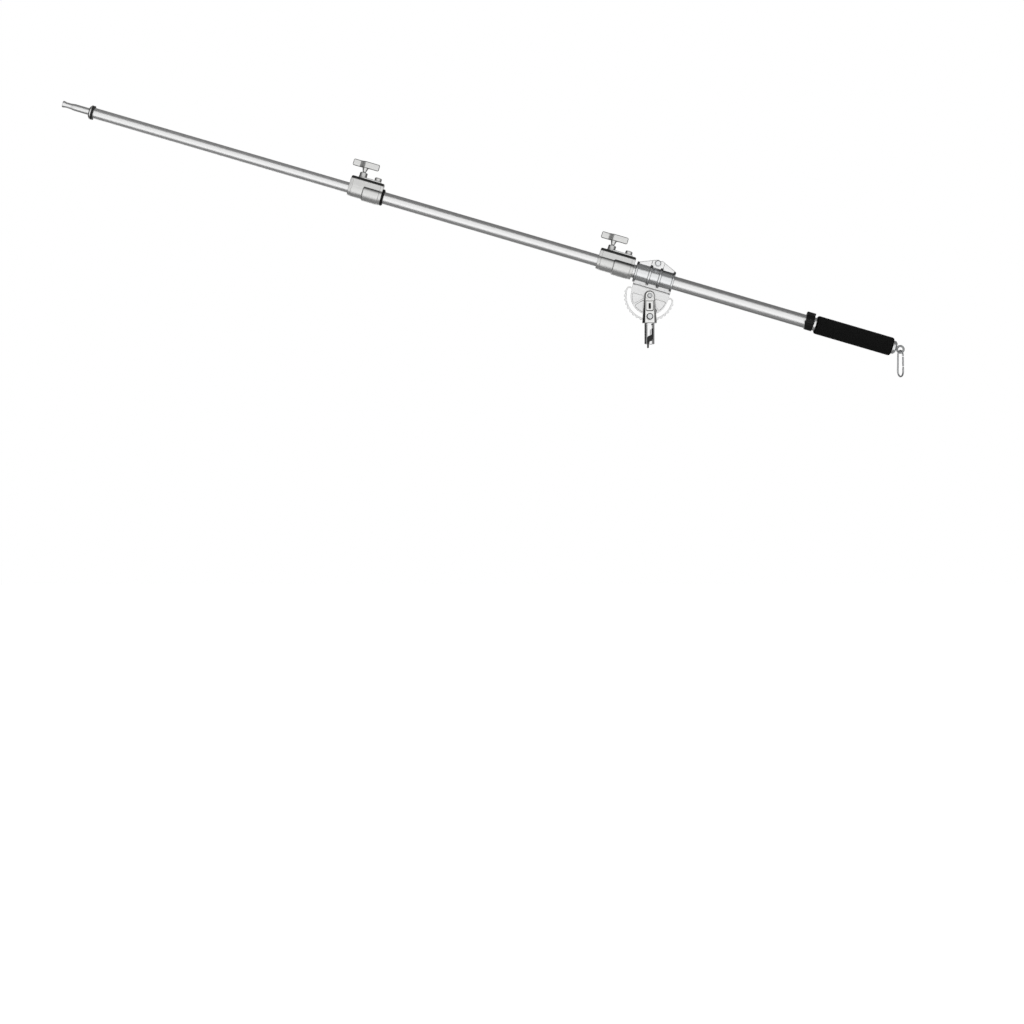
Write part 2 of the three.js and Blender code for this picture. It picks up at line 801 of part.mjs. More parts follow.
/** The half-moon plate that tilts, its axis at zero. */
function tiltPlate() {
  const slotInner = slotCentreRadius - slotHalf;
  const slotOuter = slotCentreRadius + slotHalf;
  const endRadius = slotHalf + bandWidth;
  const stripTop = boomRise - footDrop - gap;
  const tongueTop = boomRise - footDrop + tongueRise;
  const reach = plateHalf + overrun;
  const pinHeight = boomRise - footDrop + tongueRise / 2;
  const body = join(
    plate(toothedHalf(), -plateHalf, plateHalf),
    crossRod(endRadius, -slotCentreRadius, slotEndRise, -plateHalf, plateHalf, roundSides),
    crossRod(endRadius, slotCentreRadius, slotEndRise, -plateHalf, plateHalf, roundSides),
    box([-stripHalfLength, -plateHalf, 0], [stripHalfLength, plateHalf, stripTop]),
    box([-tongueHalfLength, -plateHalf, 0], [tongueHalfLength, plateHalf, tongueTop]),
  );
  const slot = join(
    plate(sector(slotInner, slotOuter, Math.PI, 2 * Math.PI), -reach, reach, 4 * arcSteps),
    box([-slotOuter, -reach, -gap], [-slotInner, reach, slotEndRise]),
    box([slotInner, -reach, -gap], [slotOuter, reach, slotEndRise]),
    crossRod(slotHalf, -slotCentreRadius, slotEndRise, -reach, reach),
    crossRod(slotHalf, slotCentreRadius, slotEndRise, -reach, reach),
  );
  const cuts = [
    slot,
    crossRod(boltHole, 0, 0, -reach, reach),
    crossRod(platePinRadius + gap, -platePinSpread, pinHeight, -reach, reach),
    crossRod(platePinRadius + gap, platePinSpread, pinHeight, -reach, reach),
  ];
  const pocketTurn = Math.PI / pocketCount;
  const spokeTurn = spokeHalf / pocketInnerRadius;
  const topTurn = Math.asin(pocketTopRise / pocketOuterRadius);
  const last = pocketCount - 1;
  for (let i = 0; i < pocketCount; i += 1) {
    const from = -Math.PI + i * pocketTurn + (i === 0 ? -topTurn : spokeTurn);
    const to = -Math.PI + (i + 1) * pocketTurn - (i === last ? -topTurn : spokeTurn);
    const pocket = sector(pocketInnerRadius, pocketOuterRadius, from, to);
    cuts.push(plate(pocket, plateHalf - pocketDepth, reach));
    cuts.push(plate(pocket, -reach, pocketDepth - plateHalf));
  }
  return cut(body, ...cuts);
}

/** The head that tilts: plate, sleeve, clamp bolt and pins. The group is turned to the boom. */
function addTiltHead(tilted, boom) {
  addPart(tilted, "tilt_plate", tiltPlate(), greyCasting);
  addPart(boom, "clamp_sleeve", clampSleeve(), brightSteel);
  const pinHeight = -footDrop + tongueRise / 2;
  for (const [side, sign] of [["left", -1], ["right", 1]]) {
    const pin = crossRod(
      platePinRadius, sign * platePinSpread, pinHeight, -footHalfWidth, footHalfWidth,
    );
    addPart(boom, `plate_pin_${side}`, pin, screwSteel);
  }
  const boltGroup = addGroup(
    boom, [clampBoltPlace, -earPadHalf, clampBoltHeight], [Math.PI / 2, 0, 0],
  );
  const clampBolt = bolt(capHeadRadius, capHeadHeight, capHeadBevel, 2 * earPadHalf + lockGrip);
  addPart(boltGroup, "sleeve_clamp_bolt", clampBolt, screwSteel);
  const rear = addGroup(boom, [clampBoltPlace, earPadHalf, clampBoltHeight], [-Math.PI / 2, 0, 0]);
  addLockHandle(rear, "sleeve_clamp", 0);
  const linerBore = outerTubeRadius + gap;
  const linerFront = sleeveFront + linerInset;
  const liner = boomTube(linerBore, linerBore + linerWall, linerFront, sleeveRear - linerInset);
  addPart(boom, "sleeve_liner", liner, blackPlastic);
}

/** One jaw of the stop clip; side is 1 for the upper jaw and -1 for the lower. */
function clipJaw(side) {
  const start = clipStart;
  const end = clipStart + clipLength;
  const earStart = side > 0 ? start + clipLugInset : start - clipEarLead;
  const half = (low, high) => (side > 0 ? [low, high] : [-high, -low]);
  const [earLow, earHigh] = half(clipSplitHalf, clipEarHalf);
  const [keepLow, keepHigh] = half(clipSplitHalf, clipLugTop + overrun);
  const halfRing = rod(clipRadius, start, end, "x", tubeSides).intersect(
    box([start - overrun, -clipEarReach, keepLow], [end + overrun, clipEarReach, keepHigh]),
  );
  const ears = box([earStart, -clipEarReach, earLow], [end - clipLugInset, clipEarReach, earHigh]);
  const lug = box(
    [start + clipLugInset, -clipLugHalf, clipSplitHalf],
    [end - clipLugInset, clipLugHalf, clipLugTop],
  );
  const body = side > 0 ? join(halfRing, ears, lug) : join(halfRing, ears);
  const middle = (start + end) / 2;
  const reach = clipEarHalf + overrun;
  return cut(
    body,
    rod(outerTubeRadius + gap, start - overrun, end + overrun, "x", tubeSides),
    uprightRod(clipScrewRadius + gap, middle, -clipScrewSpread, -reach, reach),
    uprightRod(clipScrewRadius + gap, middle, clipScrewSpread, -reach, reach),
  );
}

/** The stop clip: two jaws and the two small screws that close them. */
function addStopClip(parent) {
  addPart(parent, "stop_clip_upper", clipJaw(1), blackPlastic);
  addPart(parent, "stop_clip_lower", clipJaw(-1), blackPlastic);
  for (const [side, sign] of [["front", -1], ["rear", 1]]) {
    const top = clipEarHalf + clipScrewHeadHeight;
    const screw = turned(
      [[-clipEarHalf, 0], [-clipEarHalf, clipScrewRadius], [clipEarHalf, clipScrewRadius],
        [clipEarHalf, clipScrewHeadRadius], [top, clipScrewHeadRadius], [top, 0]],
      "z",
      smallSides,
    );
    const group = addGroup(parent, [clipStart + clipLength / 2, sign * clipScrewSpread, 0]);
    addPart(group, `stop_clip_screw_${side}`, screw, screwSteel);
  }
}

/** The foam sleeve, with rounded ends. */
function foamGrip() {
  const bore = outerTubeRadius + gap;
  const shoulder = gripRadius - gripRound;
  const outline = [[gripStart, bore]];
  for (let i = 0; i <= edgeSteps; i += 1) {
    const angle = (i / edgeSteps) * (Math.PI / 2);
    const along = gripStart + gripRound * (1 - Math.cos(angle));
    outline.push([along, shoulder + gripRound * Math.sin(angle)]);
  }
  for (let i = edgeSteps; i >= 0; i -= 1) {
    const angle = (i / edgeSteps) * (Math.PI / 2);
    const along = gripEnd - gripRound * (1 - Math.cos(angle));
    outline.push([along, shoulder + gripRound * Math.sin(angle)]);
  }
  outline.push([gripEnd, bore]);
  return turned(outline, "x", tubeSides);
}

/** The plug in the tube's near end, bored for the eye's stem. */
function endPlug() {
  const start = outerTubeEnd - plugStemLength;
  const seat = outerTubeEnd + gap;
  const stem = outerTubeBore - gap;
  const body = turned(
    [[start, 0], [start, stem], [seat, stem], [seat, outerTubeRadius],
      [plugEnd - plugHeadBevel, outerTubeRadius], [plugEnd, outerTubeRadius - plugHeadBevel],
      [plugEnd, 0]],
    "x",
    tubeSides,
  );
  const boreStart = plugEnd - eyeStemDepth - gap;
  return cut(body, rod(eyeStemRadius + gap, boreStart, plugEnd + overrun, "x", smallSides));
}

/** The eye: a ring that faces sideways, on a stem that goes into the plug. */
function tailEye() {
  const middle = (eyeRadius + eyeHole) / 2;
  const half = (eyeRadius - eyeHole) / 2;
  const outline = [];
  for (let i = 0; i < smallSides; i += 1) {
    const angle = (i / smallSides) * 2 * Math.PI;
    outline.push([eyeHalfThickness * Math.sin(angle), middle + half * Math.cos(angle)]);
  }
  const section = outline.map(([along, radius]) => new THREE.Vector2(radius, along));
  section.push(section[0].clone());
  const ringSolid = toSolid(new THREE.LatheGeometry(section, roundSides).translate(eyePlace, 0, 0));
  const stem = rod(eyeStemRadius, plugEnd - eyeStemDepth, eyePlace - middle, "x", smallSides);
  return join(ringSolid, stem);
}

/** Points along the hook's wire, in its own plane: X across, Z up, the top bend's centre at zero. */
function hookRoute() {
  const drop = hookLength - hookTopRadius - hookBottomRadius - 2 * hookWireRadius;
  const lean = Math.asin((hookBottomRadius - hookTopRadius) / drop);
  const points = [];
  const bend = (radius, centreZ, fromAngle, toAngle) => {
    for (let i = 0; i <= bendSteps; i += 1) {
      const angle = fromAngle + (i / bendSteps) * (toAngle - fromAngle);
      points.push(new THREE.Vector3(radius * Math.cos(angle), 0, centreZ + radius * Math.sin(angle)));
    }
  };
  bend(hookTopRadius, 0, -lean, Math.PI + lean);
  bend(hookBottomRadius, -drop, Math.PI + lean, 2 * Math.PI - lean);
  const nose = points[0].clone();
  const heel = points[points.length - 1].clone();
  const along = heel.clone().sub(nose).normalize();
  const hinge = nose.clone().addScaledVector(along, gateLength);
  points.push(hinge.clone().addScaledVector(along, -gateForkDepth / 2));
  return { points, nose, hinge, along };
}

/** A wire along a route. */
function wire(points, radius, sides, steps) {
  const section = new THREE.Shape();
  section.absarc(0, 0, radius, 0, 2 * Math.PI);
  const geometry = new THREE.ExtrudeGeometry(section, {
    steps,
    curveSegments: sides / 2,
    extrudePath: new THREE.CatmullRomCurve3(points, false, "centripetal"),
  });
  return toSolid(geometry);
}

/** A box in the hook's plane that follows the gate's direction, from one length to another. */
function gateBox(route, from, to, halfAcross, halfThrough) {
  const geometry = new THREE.BoxGeometry(2 * halfAcross, 2 * halfThrough, to - from);
  const turn = Math.atan2(route.along.x, -route.along.z);
  geometry.rotateY(-turn);
  const centre = route.nose.clone().addScaledVector(route.along, (from + to) / 2);
  return toSolid(geometry.translate(centre.x, centre.y, centre.z));
}

/** A round piece in the hook's plane along the gate's direction. */
function gateRod(route, from, to, radius, sides) {
  const geometry = aim(new THREE.CylinderGeometry(radius, radius, to - from, sides), "z");
  const turn = Math.atan2(route.along.x, -route.along.z);
  geometry.rotateY(-turn);
  const centre = route.nose.clone().addScaledVector(route.along, (from + to) / 2);
  return toSolid(geometry.translate(centre.x, centre.y, centre.z));
}

/** The spring hook: bent wire, hinged gate, its pin and the spring inside the gate. */
function addHook(parent) {
  const route = hookRoute();
  const { hinge } = route;
  const wide = 2 * hookWireRadius;
  const forkStart = gateLength - gateForkDepth;
  const pinHole = crossRod(gatePinRadius + gap, hinge.x, hinge.z, -wide, wide, hookSides);
  const body = cut(
    wire(route.points, hookWireRadius, hookSides, hookSteps),
    gateBox(route, forkStart - overrun, gateLength + gateForkDepth, wide, gateTongueHalf + gap),
    gateRod(route, gateNoseRise, forkStart, hookWireRadius + gap, smallSides),
    pinHole,
  );
  addPart(parent, "hook_body", body, brightSteel);
  const pin = crossRod(gatePinRadius, hinge.x, hinge.z, -hookWireRadius, hookWireRadius, hookSides);
  addPart(parent, "hook_gate_pin", pin, screwSteel);
  const gateStart = gateNoseRise + gap;
  const tongueEnd = gateLength + gatePinRadius + gap;
  const springStart = forkStart - gateSpringLength;
  const gate = cut(
    join(
      gateRod(route, gateStart, forkStart - gap, hookWireRadius, hookSides),
      gateBox(route, forkStart - 2 * gap, tongueEnd, hookWireRadius - gap, gateTongueHalf),
    ),
    pinHole,
    gateRod(route, springStart - gap, forkStart - gap + overrun, gateSpringRadius + gap, hookSides),
  );
  addPart(parent, "hook_gate", gate, brightSteel);
  const spring = gateRod(route, springStart, forkStart - 2 * gap, gateSpringRadius, hookSides);
  addPart(parent, "hook_gate_spring", spring, screwSteel);
}

/** The lamp stud with its flange and the plug that holds it in the tube. */
function tipStud() {
  const bodyStart = flangeFace - flangeWidth - studBodyLength;
  const neckStart = bodyStart - studShoulder - studNeckLength;
  const tip = neckStart - studTipLength;
  const plug = innerTubeBore - gap;
  return turned(
    [[tip, 0], [tip, studTipRadius - studShoulder / 2], [tip + studShoulder / 2, studTipRadius],
      [tip + studTipLength / 2, studTipRadius], [neckStart, studNeckRadius],
      [bodyStart - studShoulder, studNeckRadius], [bodyStart, studRadius],
      [flangeFace - flangeWidth, studRadius], [flangeFace - flangeWidth, flangeRadius],
      [flangeFace, flangeRadius], [flangeFace, plug], [flangeFace + studPlugLength, plug],
      [flangeFace + studPlugLength, 0]],
    "x",
    tubeSides,
  );
}

/** The three telescoping sections and everything fixed to them. */
function addBoom(boom) {
  const outerStart = rearCollarStep + tubeShoulderGap;
  const outerTube = boomTube(outerTubeBore, outerTubeRadius, outerStart, outerTubeEnd);
  addPart(boom, "outer_tube", outerTube, brightSteel);
  const rearCollarGroup = addGroup(boom, [rearCollarEnd, 0, 0]);
  addCollar(rearCollarGroup, "collar2", rearCollar, midTubeRadius, outerTubeRadius);
  addStopClip(boom);
  addPart(boom, "foam_grip", foamGrip(), blackFoam);
  addPart(boom, "end_plug", endPlug(), brightSteel);
  addPart(boom, "tail_eye", tailEye(), brightSteel);

  const midStart = frontCollarStep + tubeShoulderGap;
  const midTube = boomTube(midTubeBore, midTubeRadius, midStart, midTubeEnd);
  addPart(boom, "mid_tube", midTube, brightSteel);
  addPart(boom, "mid_glide", glide(midTubeRadius, midTubeBore, midTubeEnd), whiteNylon);
  const frontCollarGroup = addGroup(boom, [frontCollarEnd, 0, 0]);
  addCollar(frontCollarGroup, "collar1", frontCollar, innerTubeRadius, midTubeRadius);
  const endRing = boomTube(
    midTubeRadius + gap, collarEndRingRadius, frontCollarEnd + gap, frontRingEnd,
  );
  addPart(boom, "collar1_end_ring", endRing, blackPlastic);

  const innerStart = flangeFace + gap;
  const innerTube = boomTube(innerTubeBore, innerTubeRadius, innerStart, innerTubeEnd);
  addPart(boom, "inner_tube", innerTube, brightSteel);
  addPart(boom, "inner_glide", glide(innerTubeRadius, innerTubeBore, innerTubeEnd), whiteNylon);
  addPart(boom, "tip_stud", tipStud(), brightSteel);
  const rubberRingBore = innerTubeRadius + gap;
  const rubberRing = boomTube(rubberRingBore, rubberRingRadius, innerStart, rubberRingEnd);
  addPart(boom, "rubber_ring", rubberRing, blackRubber);
}

/** The whole arm. */
function boomArm() {
  const arm = new THREE.Group();
  addStandHead(arm);
  const tilted = addGroup(arm, [0, 0, pivotHeight], [0, tiltAngle, 0]);
  const boom = addGroup(tilted, [0, 0, boomRise]);
  addTiltHead(tilted, boom);
  addBoom(boom);
  const eye = addGroup(boom, [eyePlace, 0, 0], [0, -tiltAngle, 0]);
  const seat = eyeHole - hookWireRadius - gap;
  const turnedHook = addGroup(eye, [0, 0, -seat], [0, 0, hookTurn]);
  addHook(addGroup(turnedHook, [hookHangOffset, 0, -hookTopRadius]));
  return arm;
}

export default boomArm();
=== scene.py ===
# %% [markdown]
# This is the dressed model of an overhead boom arm, a telescoping steel boom that slides,
# rolls and tilts in a cast head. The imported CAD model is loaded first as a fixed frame. Every
# piece below is a surface worked out with numpy, in the same frame, so it needs no fitting.

import math

import bmesh
import bpy
import numpy as np
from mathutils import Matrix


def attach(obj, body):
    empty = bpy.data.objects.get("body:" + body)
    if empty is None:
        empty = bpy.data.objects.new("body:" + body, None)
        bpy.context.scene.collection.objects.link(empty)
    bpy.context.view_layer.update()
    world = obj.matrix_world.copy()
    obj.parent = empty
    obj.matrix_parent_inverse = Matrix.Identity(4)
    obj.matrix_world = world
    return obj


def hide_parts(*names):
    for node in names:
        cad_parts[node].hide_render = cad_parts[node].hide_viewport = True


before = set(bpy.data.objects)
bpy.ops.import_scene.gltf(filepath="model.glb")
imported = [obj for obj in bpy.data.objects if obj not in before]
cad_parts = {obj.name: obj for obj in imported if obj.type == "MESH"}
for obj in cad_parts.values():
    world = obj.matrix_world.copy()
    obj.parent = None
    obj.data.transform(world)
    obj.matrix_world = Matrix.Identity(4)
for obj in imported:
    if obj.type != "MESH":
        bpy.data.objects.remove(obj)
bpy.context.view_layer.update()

# %% [markdown]
# The boom is stored tilted, so its pieces are easier to think of along the boom than along
# the world's axes. A placer turns local millimetres into millimetres of the arm's frame: its
# third axis is the cross product of the two that are given.

# %% Places and directions
MM = 0.001
tilt = math.radians(16.33)
along = np.array([math.cos(tilt), 0, -math.sin(tilt)])
above = np.array([math.sin(tilt), 0, math.cos(tilt)])
right, back, up = np.eye(3)
front = -back
pivot_height, boom_rise = 113.5, 45.6
pivot = pivot_height * up
boom_middle = pivot + boom_rise * above


def placer(origin, first, second):
    """Local points to the arm's frame: origin + a*first + b*second + c*(first x second)."""
    axes = np.array([first, second, np.cross(first, second)], float)
    return lambda points: np.asarray(points, float) @ axes + origin


def boom_point(place, side=0.0, height=0.0):
    """A point at a place along the boom, to the back, and above its centre line."""
    return boom_middle + place * along + side * back + height * above


def boom_place(points):
    """How far points lie along the boom, and above its centre line."""
    offset = points - boom_middle
    return offset @ along, offset @ above


on_boom = placer(boom_middle, along, back)
on_section = placer(boom_middle, back, above)
on_side = placer(boom_middle, along, above)
on_socket = placer(np.zeros(3), up, right)
print("tilt axis to boom centre", np.round(boom_middle - pivot, 2), "mm")

# %% [markdown]
# Real edges are never sharp: castings are rounded and turned parts have a small chamfer, and
# those edges are what catches the light. So every outline passes through one helper that
# rounds its corners before it is turned, stacked or swept.

# %% Rounded outlines
def soften(corners, cuts, steps=6, closed=False, hold=0.25):
    """Round the corners P of a line. Each is cut back by its own length to A and B, and bridged
    by (1-s)^2 A + 2s(1-s) P + s^2 B. A point a little outside A and B keeps flat sides flat."""
    p = np.asarray(corners, float)
    ring = np.concatenate([p[-1:], p, p[:1]]) if closed else p
    middle = ring[1:-1]
    sides = ring[:-2] - middle, ring[2:] - middle
    lengths = [np.maximum(np.linalg.norm(side[:, :2], axis=1), 1e-9) for side in sides]
    cuts = np.broadcast_to(cuts, len(p))
    cut = np.minimum(cuts if closed else cuts[1:-1], 0.48 * np.minimum(*lengths))

    def back_by(reach):
        """The points on both sides of each corner at that distance from it."""
        shares = [np.minimum(reach, 0.495 * length) / length for length in lengths]
        return [middle + side * share[:, None] for side, share in zip(sides, shares)]

    (start, end), (held_start, held_end) = back_by(cut), back_by(cut + hold)
    s = np.linspace(0, 1, steps)[:, None, None]
    bridge = (1 - s) ** 2 * start + 2 * s * (1 - s) * middle + s**2 * end
    line = np.concatenate([held_start[None], bridge, held_end[None]])
    line = line.transpose(1, 0, 2).reshape(-1, p.shape[1])
    return line if closed else np.concatenate([p[:1], line, p[-1:]])


def rounded_box(x0, x1, y0, y1, radius, steps=6):
    """A rectangle's outline with round corners."""
    return soften([(x0, y0), (x1, y0), (x1, y1), (x0, y1)], radius, steps, closed=True)


print("a rounded rectangle has", len(rounded_box(0, 4, 0, 3, 1)), "points")

# %% [markdown]
# Two builders cover almost the whole arm. The first carries a profile round an axis, as a
# lathe does. Like every builder here it gives points and faces, and several such surfaces
# make one piece.

# %% Turned surfaces
def round_angles(count):
    """Even angles once round, in radians."""
    return np.arange(count) * 2 * np.pi / count


def round_axis(u, r, angle):
    """Points at places u, radii r and angles a round the first axis: (u, r cos a, r sin a)."""
    return np.stack(np.broadcast_arrays(u, r * np.cos(angle), r * np.sin(angle)), -1)


def grid_surface(grid, close_rows=False, close_columns=True):
    """A grid of points as faces: one between each two rows and columns."""
    number = np.arange(grid[..., 0].size).reshape(grid.shape[:2])
    if close_rows:
        number = np.vstack([number, number[:1]])
    if close_columns:
        number = np.hstack([number, number[:, :1]])
    quads = np.stack([number[:-1, :-1], number[:-1, 1:], number[1:, 1:], number[1:, :-1]], -1)
    return grid.reshape(-1, 3), quads.reshape(-1, 4).tolist()


def turned(corners, place, cuts=0.4, sides=96, closed=False, steps=6):
    """A profile of (along, radius, hexness) carried round its axis by an angle a:
    (along, r cos a, r sin a). Where hexness is 1, r grows by 1/cos(a mod 60 - 30 degrees)."""
    line = soften(corners, cuts, steps, closed)
    angle, radius = round_angles(sides), line[:, 1:2]
    if line.shape[1] > 2:
        flat = 1 / np.cos(angle % (np.pi / 3) - np.pi / 6)
        radius = radius * (1 + line[:, 2:3] * (flat - 1))
    return grid_surface(place(round_axis(line[:, :1], radius, angle)), close_rows=closed)


print("a turned pin has", len(turned([(0, 0), (0, 1), (5, 1), (5, 0)], on_boom)[1]), "faces")

# %% [markdown]
# The second builder is a slab: one outline at several heights, moved inwards near its rims.
# Round rims suit mouldings, and flat bevels read as the crisp lines of a casting.

# %% Slabs
def unit(steps):
    """Each step divided by its own length."""
    return steps / np.maximum(np.linalg.norm(steps, axis=-1, keepdims=True), 1e-9)


def left_of(step):
    """Each flat step (x, y) turned by a right angle to (-y, x)."""
    return np.stack([-step[:, 1], step[:, 0]], 1)


def inset(outline, distance):
    """A closed outline moved inwards: each point along the mean of its two edges' normals."""
    normal = left_of(unit(np.roll(outline, -1, 0) - outline))
    mean = unit(normal + np.roll(normal, 1, 0))
    lean = np.maximum((mean * normal).sum(1, keepdims=True), 0.5)
    x, y = outline.T
    area = np.sum(x * np.roll(y, -1) - y * np.roll(x, -1))
    return outline + mean / lean * distance * np.sign(area)


def edge_levels(low, high, round_low, round_high, steps=5):
    """Heights and insets of a slab whose two rims are quarter circles."""
    a = np.linspace(0, np.pi / 2, steps)
    lower = np.stack([low + round_low * (1 - np.cos(a)), round_low * (1 - np.sin(a))], 1)
    upper = np.stack([high - round_high * (1 - np.sin(a)), round_high * (1 - np.cos(a))], 1)
    return np.concatenate([lower, upper])


def bevel_levels(low, high, cut_low, cut_high, slope=1.2):
    """The same with flat bevels of one slope, which read as crisp lines."""
    rise, fall = low + slope * cut_low, high - slope * cut_high
    return soften([(low, cut_low), (rise, 0), (fall, 0), (high, cut_high)], 0.12, 3, hold=0.05)


def slab(outline, levels, place, arched=False):
    """One closed outline at each (height, inset), with a flat face on both ends. An arch, whose
    outer line is followed by its inner one backwards, is filled with quads between the two."""
    stack = np.stack([inset(outline, d) for _, d in levels])
    heights = np.broadcast_to(np.asarray(levels)[:, :1, None], stack.shape[:2] + (1,))
    points, faces = grid_surface(place(np.concatenate([stack, heights], -1)))
    count, last = len(outline), len(stack) - 1
    for start in (0, last * count):
        if arched:
            first = start + np.arange(count // 2 - 1)
            across = 2 * start + count - 1 - first
            faces += np.stack([first, first + 1, across - 1, across], 1).tolist()
        else:
            faces.append(list(range(start, start + count)))
    return points, faces


print("two round rims have", len(edge_levels(0, 1, 0.2, 0.2)), "rings of points")

# %% [markdown]
# A piece is one mesh of one or more surfaces. It rides on a body of the frame, and it stands
# for the CAD nodes that it replaces.

# %% Pieces
def put(name, data):
    """A new object in the scene."""
    made = bpy.data.objects.new(name, data)
    bpy.context.scene.collection.objects.link(made)
    return made


def rows_of(items, name):
    """One vector of each vertex or face of a mesh, as the rows of an array."""
    values = np.zeros(len(items) * 3)
    items.foreach_get(name, values)
    return values.reshape(-1, 3)


def piece(name, body, finish, surfaces, replaced=(), flat_along=None, sharp=38, shade=None):
    """One mesh of several surfaces: doubles merged, normals turned outwards, smooth where the
    surface is round. Faces square to flat_along stay flat. A painted shade, worked out from the
    points and normals, is kept as an attribute, and the finish darkens the colour by it."""
    points = np.concatenate([p for p, _ in surfaces]) * MM
    starts = np.cumsum([0] + [len(p) for p, _ in surfaces])
    faces = [[i + start for i in face] for (_, f), start in zip(surfaces, starts) for face in f]
    mesh = bpy.data.meshes.new(name)
    mesh.from_pydata(points.tolist(), [], faces)
    work = bmesh.new()
    work.from_mesh(mesh)
    bmesh.ops.remove_doubles(work, verts=work.verts, dist=0.001 * MM)
    bmesh.ops.recalc_face_normals(work, faces=work.faces)
    work.to_mesh(mesh)
    work.free()
    mesh.shade_smooth()
    mesh.set_sharp_from_angle(angle=math.radians(sharp))
    if flat_along is not None:
        square = np.abs(rows_of(mesh.polygons, "normal") @ flat_along) > 0.99995
        mesh.polygons.foreach_set("use_smooth", ~square)
    if shade is not None:
        values = shade(rows_of(mesh.vertices, "co") / MM, rows_of(mesh.vertices, "normal"))
        mesh.attributes.new("shade", "FLOAT", "POINT").data.foreach_set("value", values)
    made = put(name, mesh)
    material, slot = finish
    mesh.materials.append(material)
    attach(made, body)
    if replaced:
        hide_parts(*replaced)
    print(f"{name}: {len(mesh.polygons)} faces")
    return made


print("CAD nodes to dress", len(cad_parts))

# %% [markdown]
# Materials are trees of nodes. Two helpers keep them short: one sets the inputs of a node, and
# the other makes a node and gives its outputs.

# %% Nodes
def feed(node, values):
    """Sets a node's inputs to other nodes' outputs, to colours, given as arrays, or to numbers."""
    for name, value in values.items():
        socket = node.inputs[name]
        if isinstance(value, bpy.types.NodeSocket):
            node.id_data.links.new(value, socket)
        else:
            socket.default_value = (*value, 1) if isinstance(value, np.ndarray) else value


def add(tree, kind, values=None, **settings):
    """A new node with its settings and inputs. Gives its outputs."""
    node = tree.nodes.new(f"ShaderNode{kind}")
    for setting, choice in settings.items():
        setattr(node, setting, choice)
    feed(node, values or {})
    return node.outputs

# %% [markdown]
# A finish is one node material. All of them share a build: a fine grain for roughness and
# bump, a slow mottle for colour, and wear, which follows the edges through Pointiness. The
# grain is laid in the boom's own direction, so drawn tubes get lines and castings get a grain.
# Bevels, corners and sides get a painted shade in place of dark reflections: a piece marks them as
# its shade.

# %% A finish
def finish(name, slot, colour, rough, grain=0.4, mottle=3, depth=0.01, vary=0.08, metallic=1,
           stretch=1, worn=1.12, worn_rough=-0.06, specular=0.5):
    """A material: the colour varies with a mottle, roughness and bump follow a finer grain, and
    edges are worn. Sizes of grain and mottle and the grain's depth are in millimetres."""
    material = bpy.data.materials.new(name)
    material.use_nodes = True
    tree = material.node_tree
    colour = np.array(colour) * np.ones(3)
    where = add(tree, "TexCoord")["Object"]

    def noise(size, lengthened, detail):
        place = add(tree, "Mapping", {
            "Vector": where, "Rotation": (0, tilt, 0),
            "Scale": (size * lengthened * MM, size * MM, size * MM),
        }, vector_type="TEXTURE")
        values = {"Vector": place["Vector"], "Scale": 1, "Detail": detail}
        return add(tree, "TexNoise", values)["Fac"]

    def ramp(source, low, high, first, second):
        return add(tree, "MapRange", {"Value": source, "From Min": low, "From Max": high,
                                      "To Min": first, "To Max": second})["Result"]

    def mix(share, first, second):
        values = {"Factor": share, "A": first, "B": second}
        return add(tree, "Mix", values, data_type="RGBA")["Result"]

    fine, slow = noise(grain, stretch, 3), noise(mottle, min(stretch, 4), 4)
    dull, pale = colour * (1 - vary), np.minimum(colour * (1 + vary), 1)
    plain = mix(ramp(slow, 0.3, 0.7, 0, 1), dull, pale)
    grained = mix(ramp(fine, 0.25, 0.75, 0, 0.5), colour * (1 - 1.5 * vary), plain)
    worn_edge = add(tree, "NewGeometry")["Pointiness"], 0.505, 0.56
    tone = mix(ramp(*worn_edge, 0, 1), grained, np.minimum(colour * worn, 1))
    # Painted shade: the colour goes down to 5 percent where a piece's shade attribute is 1.
    shade = add(tree, "Attribute", attribute_name="shade")["Fac"]
    roughness = {0: ramp(fine, 0.3, 0.7, *rough), 1: ramp(*worn_edge, 0, worn_rough)}
    feed(tree.nodes["Principled BSDF"], {
        "Metallic": metallic, "Specular IOR Level": specular,
        "Base Color": mix(shade, tone, colour * 0.05),
        "Roughness": add(tree, "Math", roughness)["Value"],
        "Normal": add(tree, "Bump", {"Distance": depth * MM, "Height": fine})["Normal"],
    })
    return material, slot

# %% [markdown]
# The tubes are plated and bright, the castings have a satin skin, the screws are zinc, and the
# moulded pieces are black. Each name is followed by its slot in the frame and its numbers.

# %% Finishes of the arm
# Colour, roughness from and to, sizes of grain and mottle, depth, and how far the colour varies.
chrome = finish("satin_chrome", "tube_steel", 0.88, (0.28, 0.4), 0.5, 5, 0.004, 0.05, stretch=60)
bright = finish("bright_plate", "tube_steel", (0.82, 0.83, 0.84), (0.2, 0.3), 0.6, 4, 0.004, 0.04)
polished = finish("polished_plate", "tube_steel", 0.95, (0.14, 0.22), 0.6, 4, 0.004, 0.03)
plain_steel = finish("plain_steel", "tube_steel", (0.56, 0.57, 0.58), (0.3, 0.42), 0.5, 4, 0.006)
casting = finish("satin_casting", "satin_casting", (0.79, 0.79, 0.78), (0.32, 0.46), 0.7, 7, 0.02,
                 0.07)
yoke_cast = finish("bright_casting", "satin_casting", (0.87, 0.87, 0.86), (0.34, 0.48), 0.7, 7,
                   0.02, 0.06)
plate_cast = finish("pale_casting", "grey_casting", 0.84, (0.42, 0.55), 0.8, 8, 0.03, 0.05)
zinc = finish("zinc_steel", "screw_steel", (0.74, 0.75, 0.76), (0.26, 0.4), vary=0.1)
dark_steel = finish("dark_steel", "screw_steel", 0.05, (0.3, 0.42), vary=0.15, worn=1.6)
brass = finish("brass_pad", "brass", (0.66, 0.5, 0.22), (0.3, 0.45))
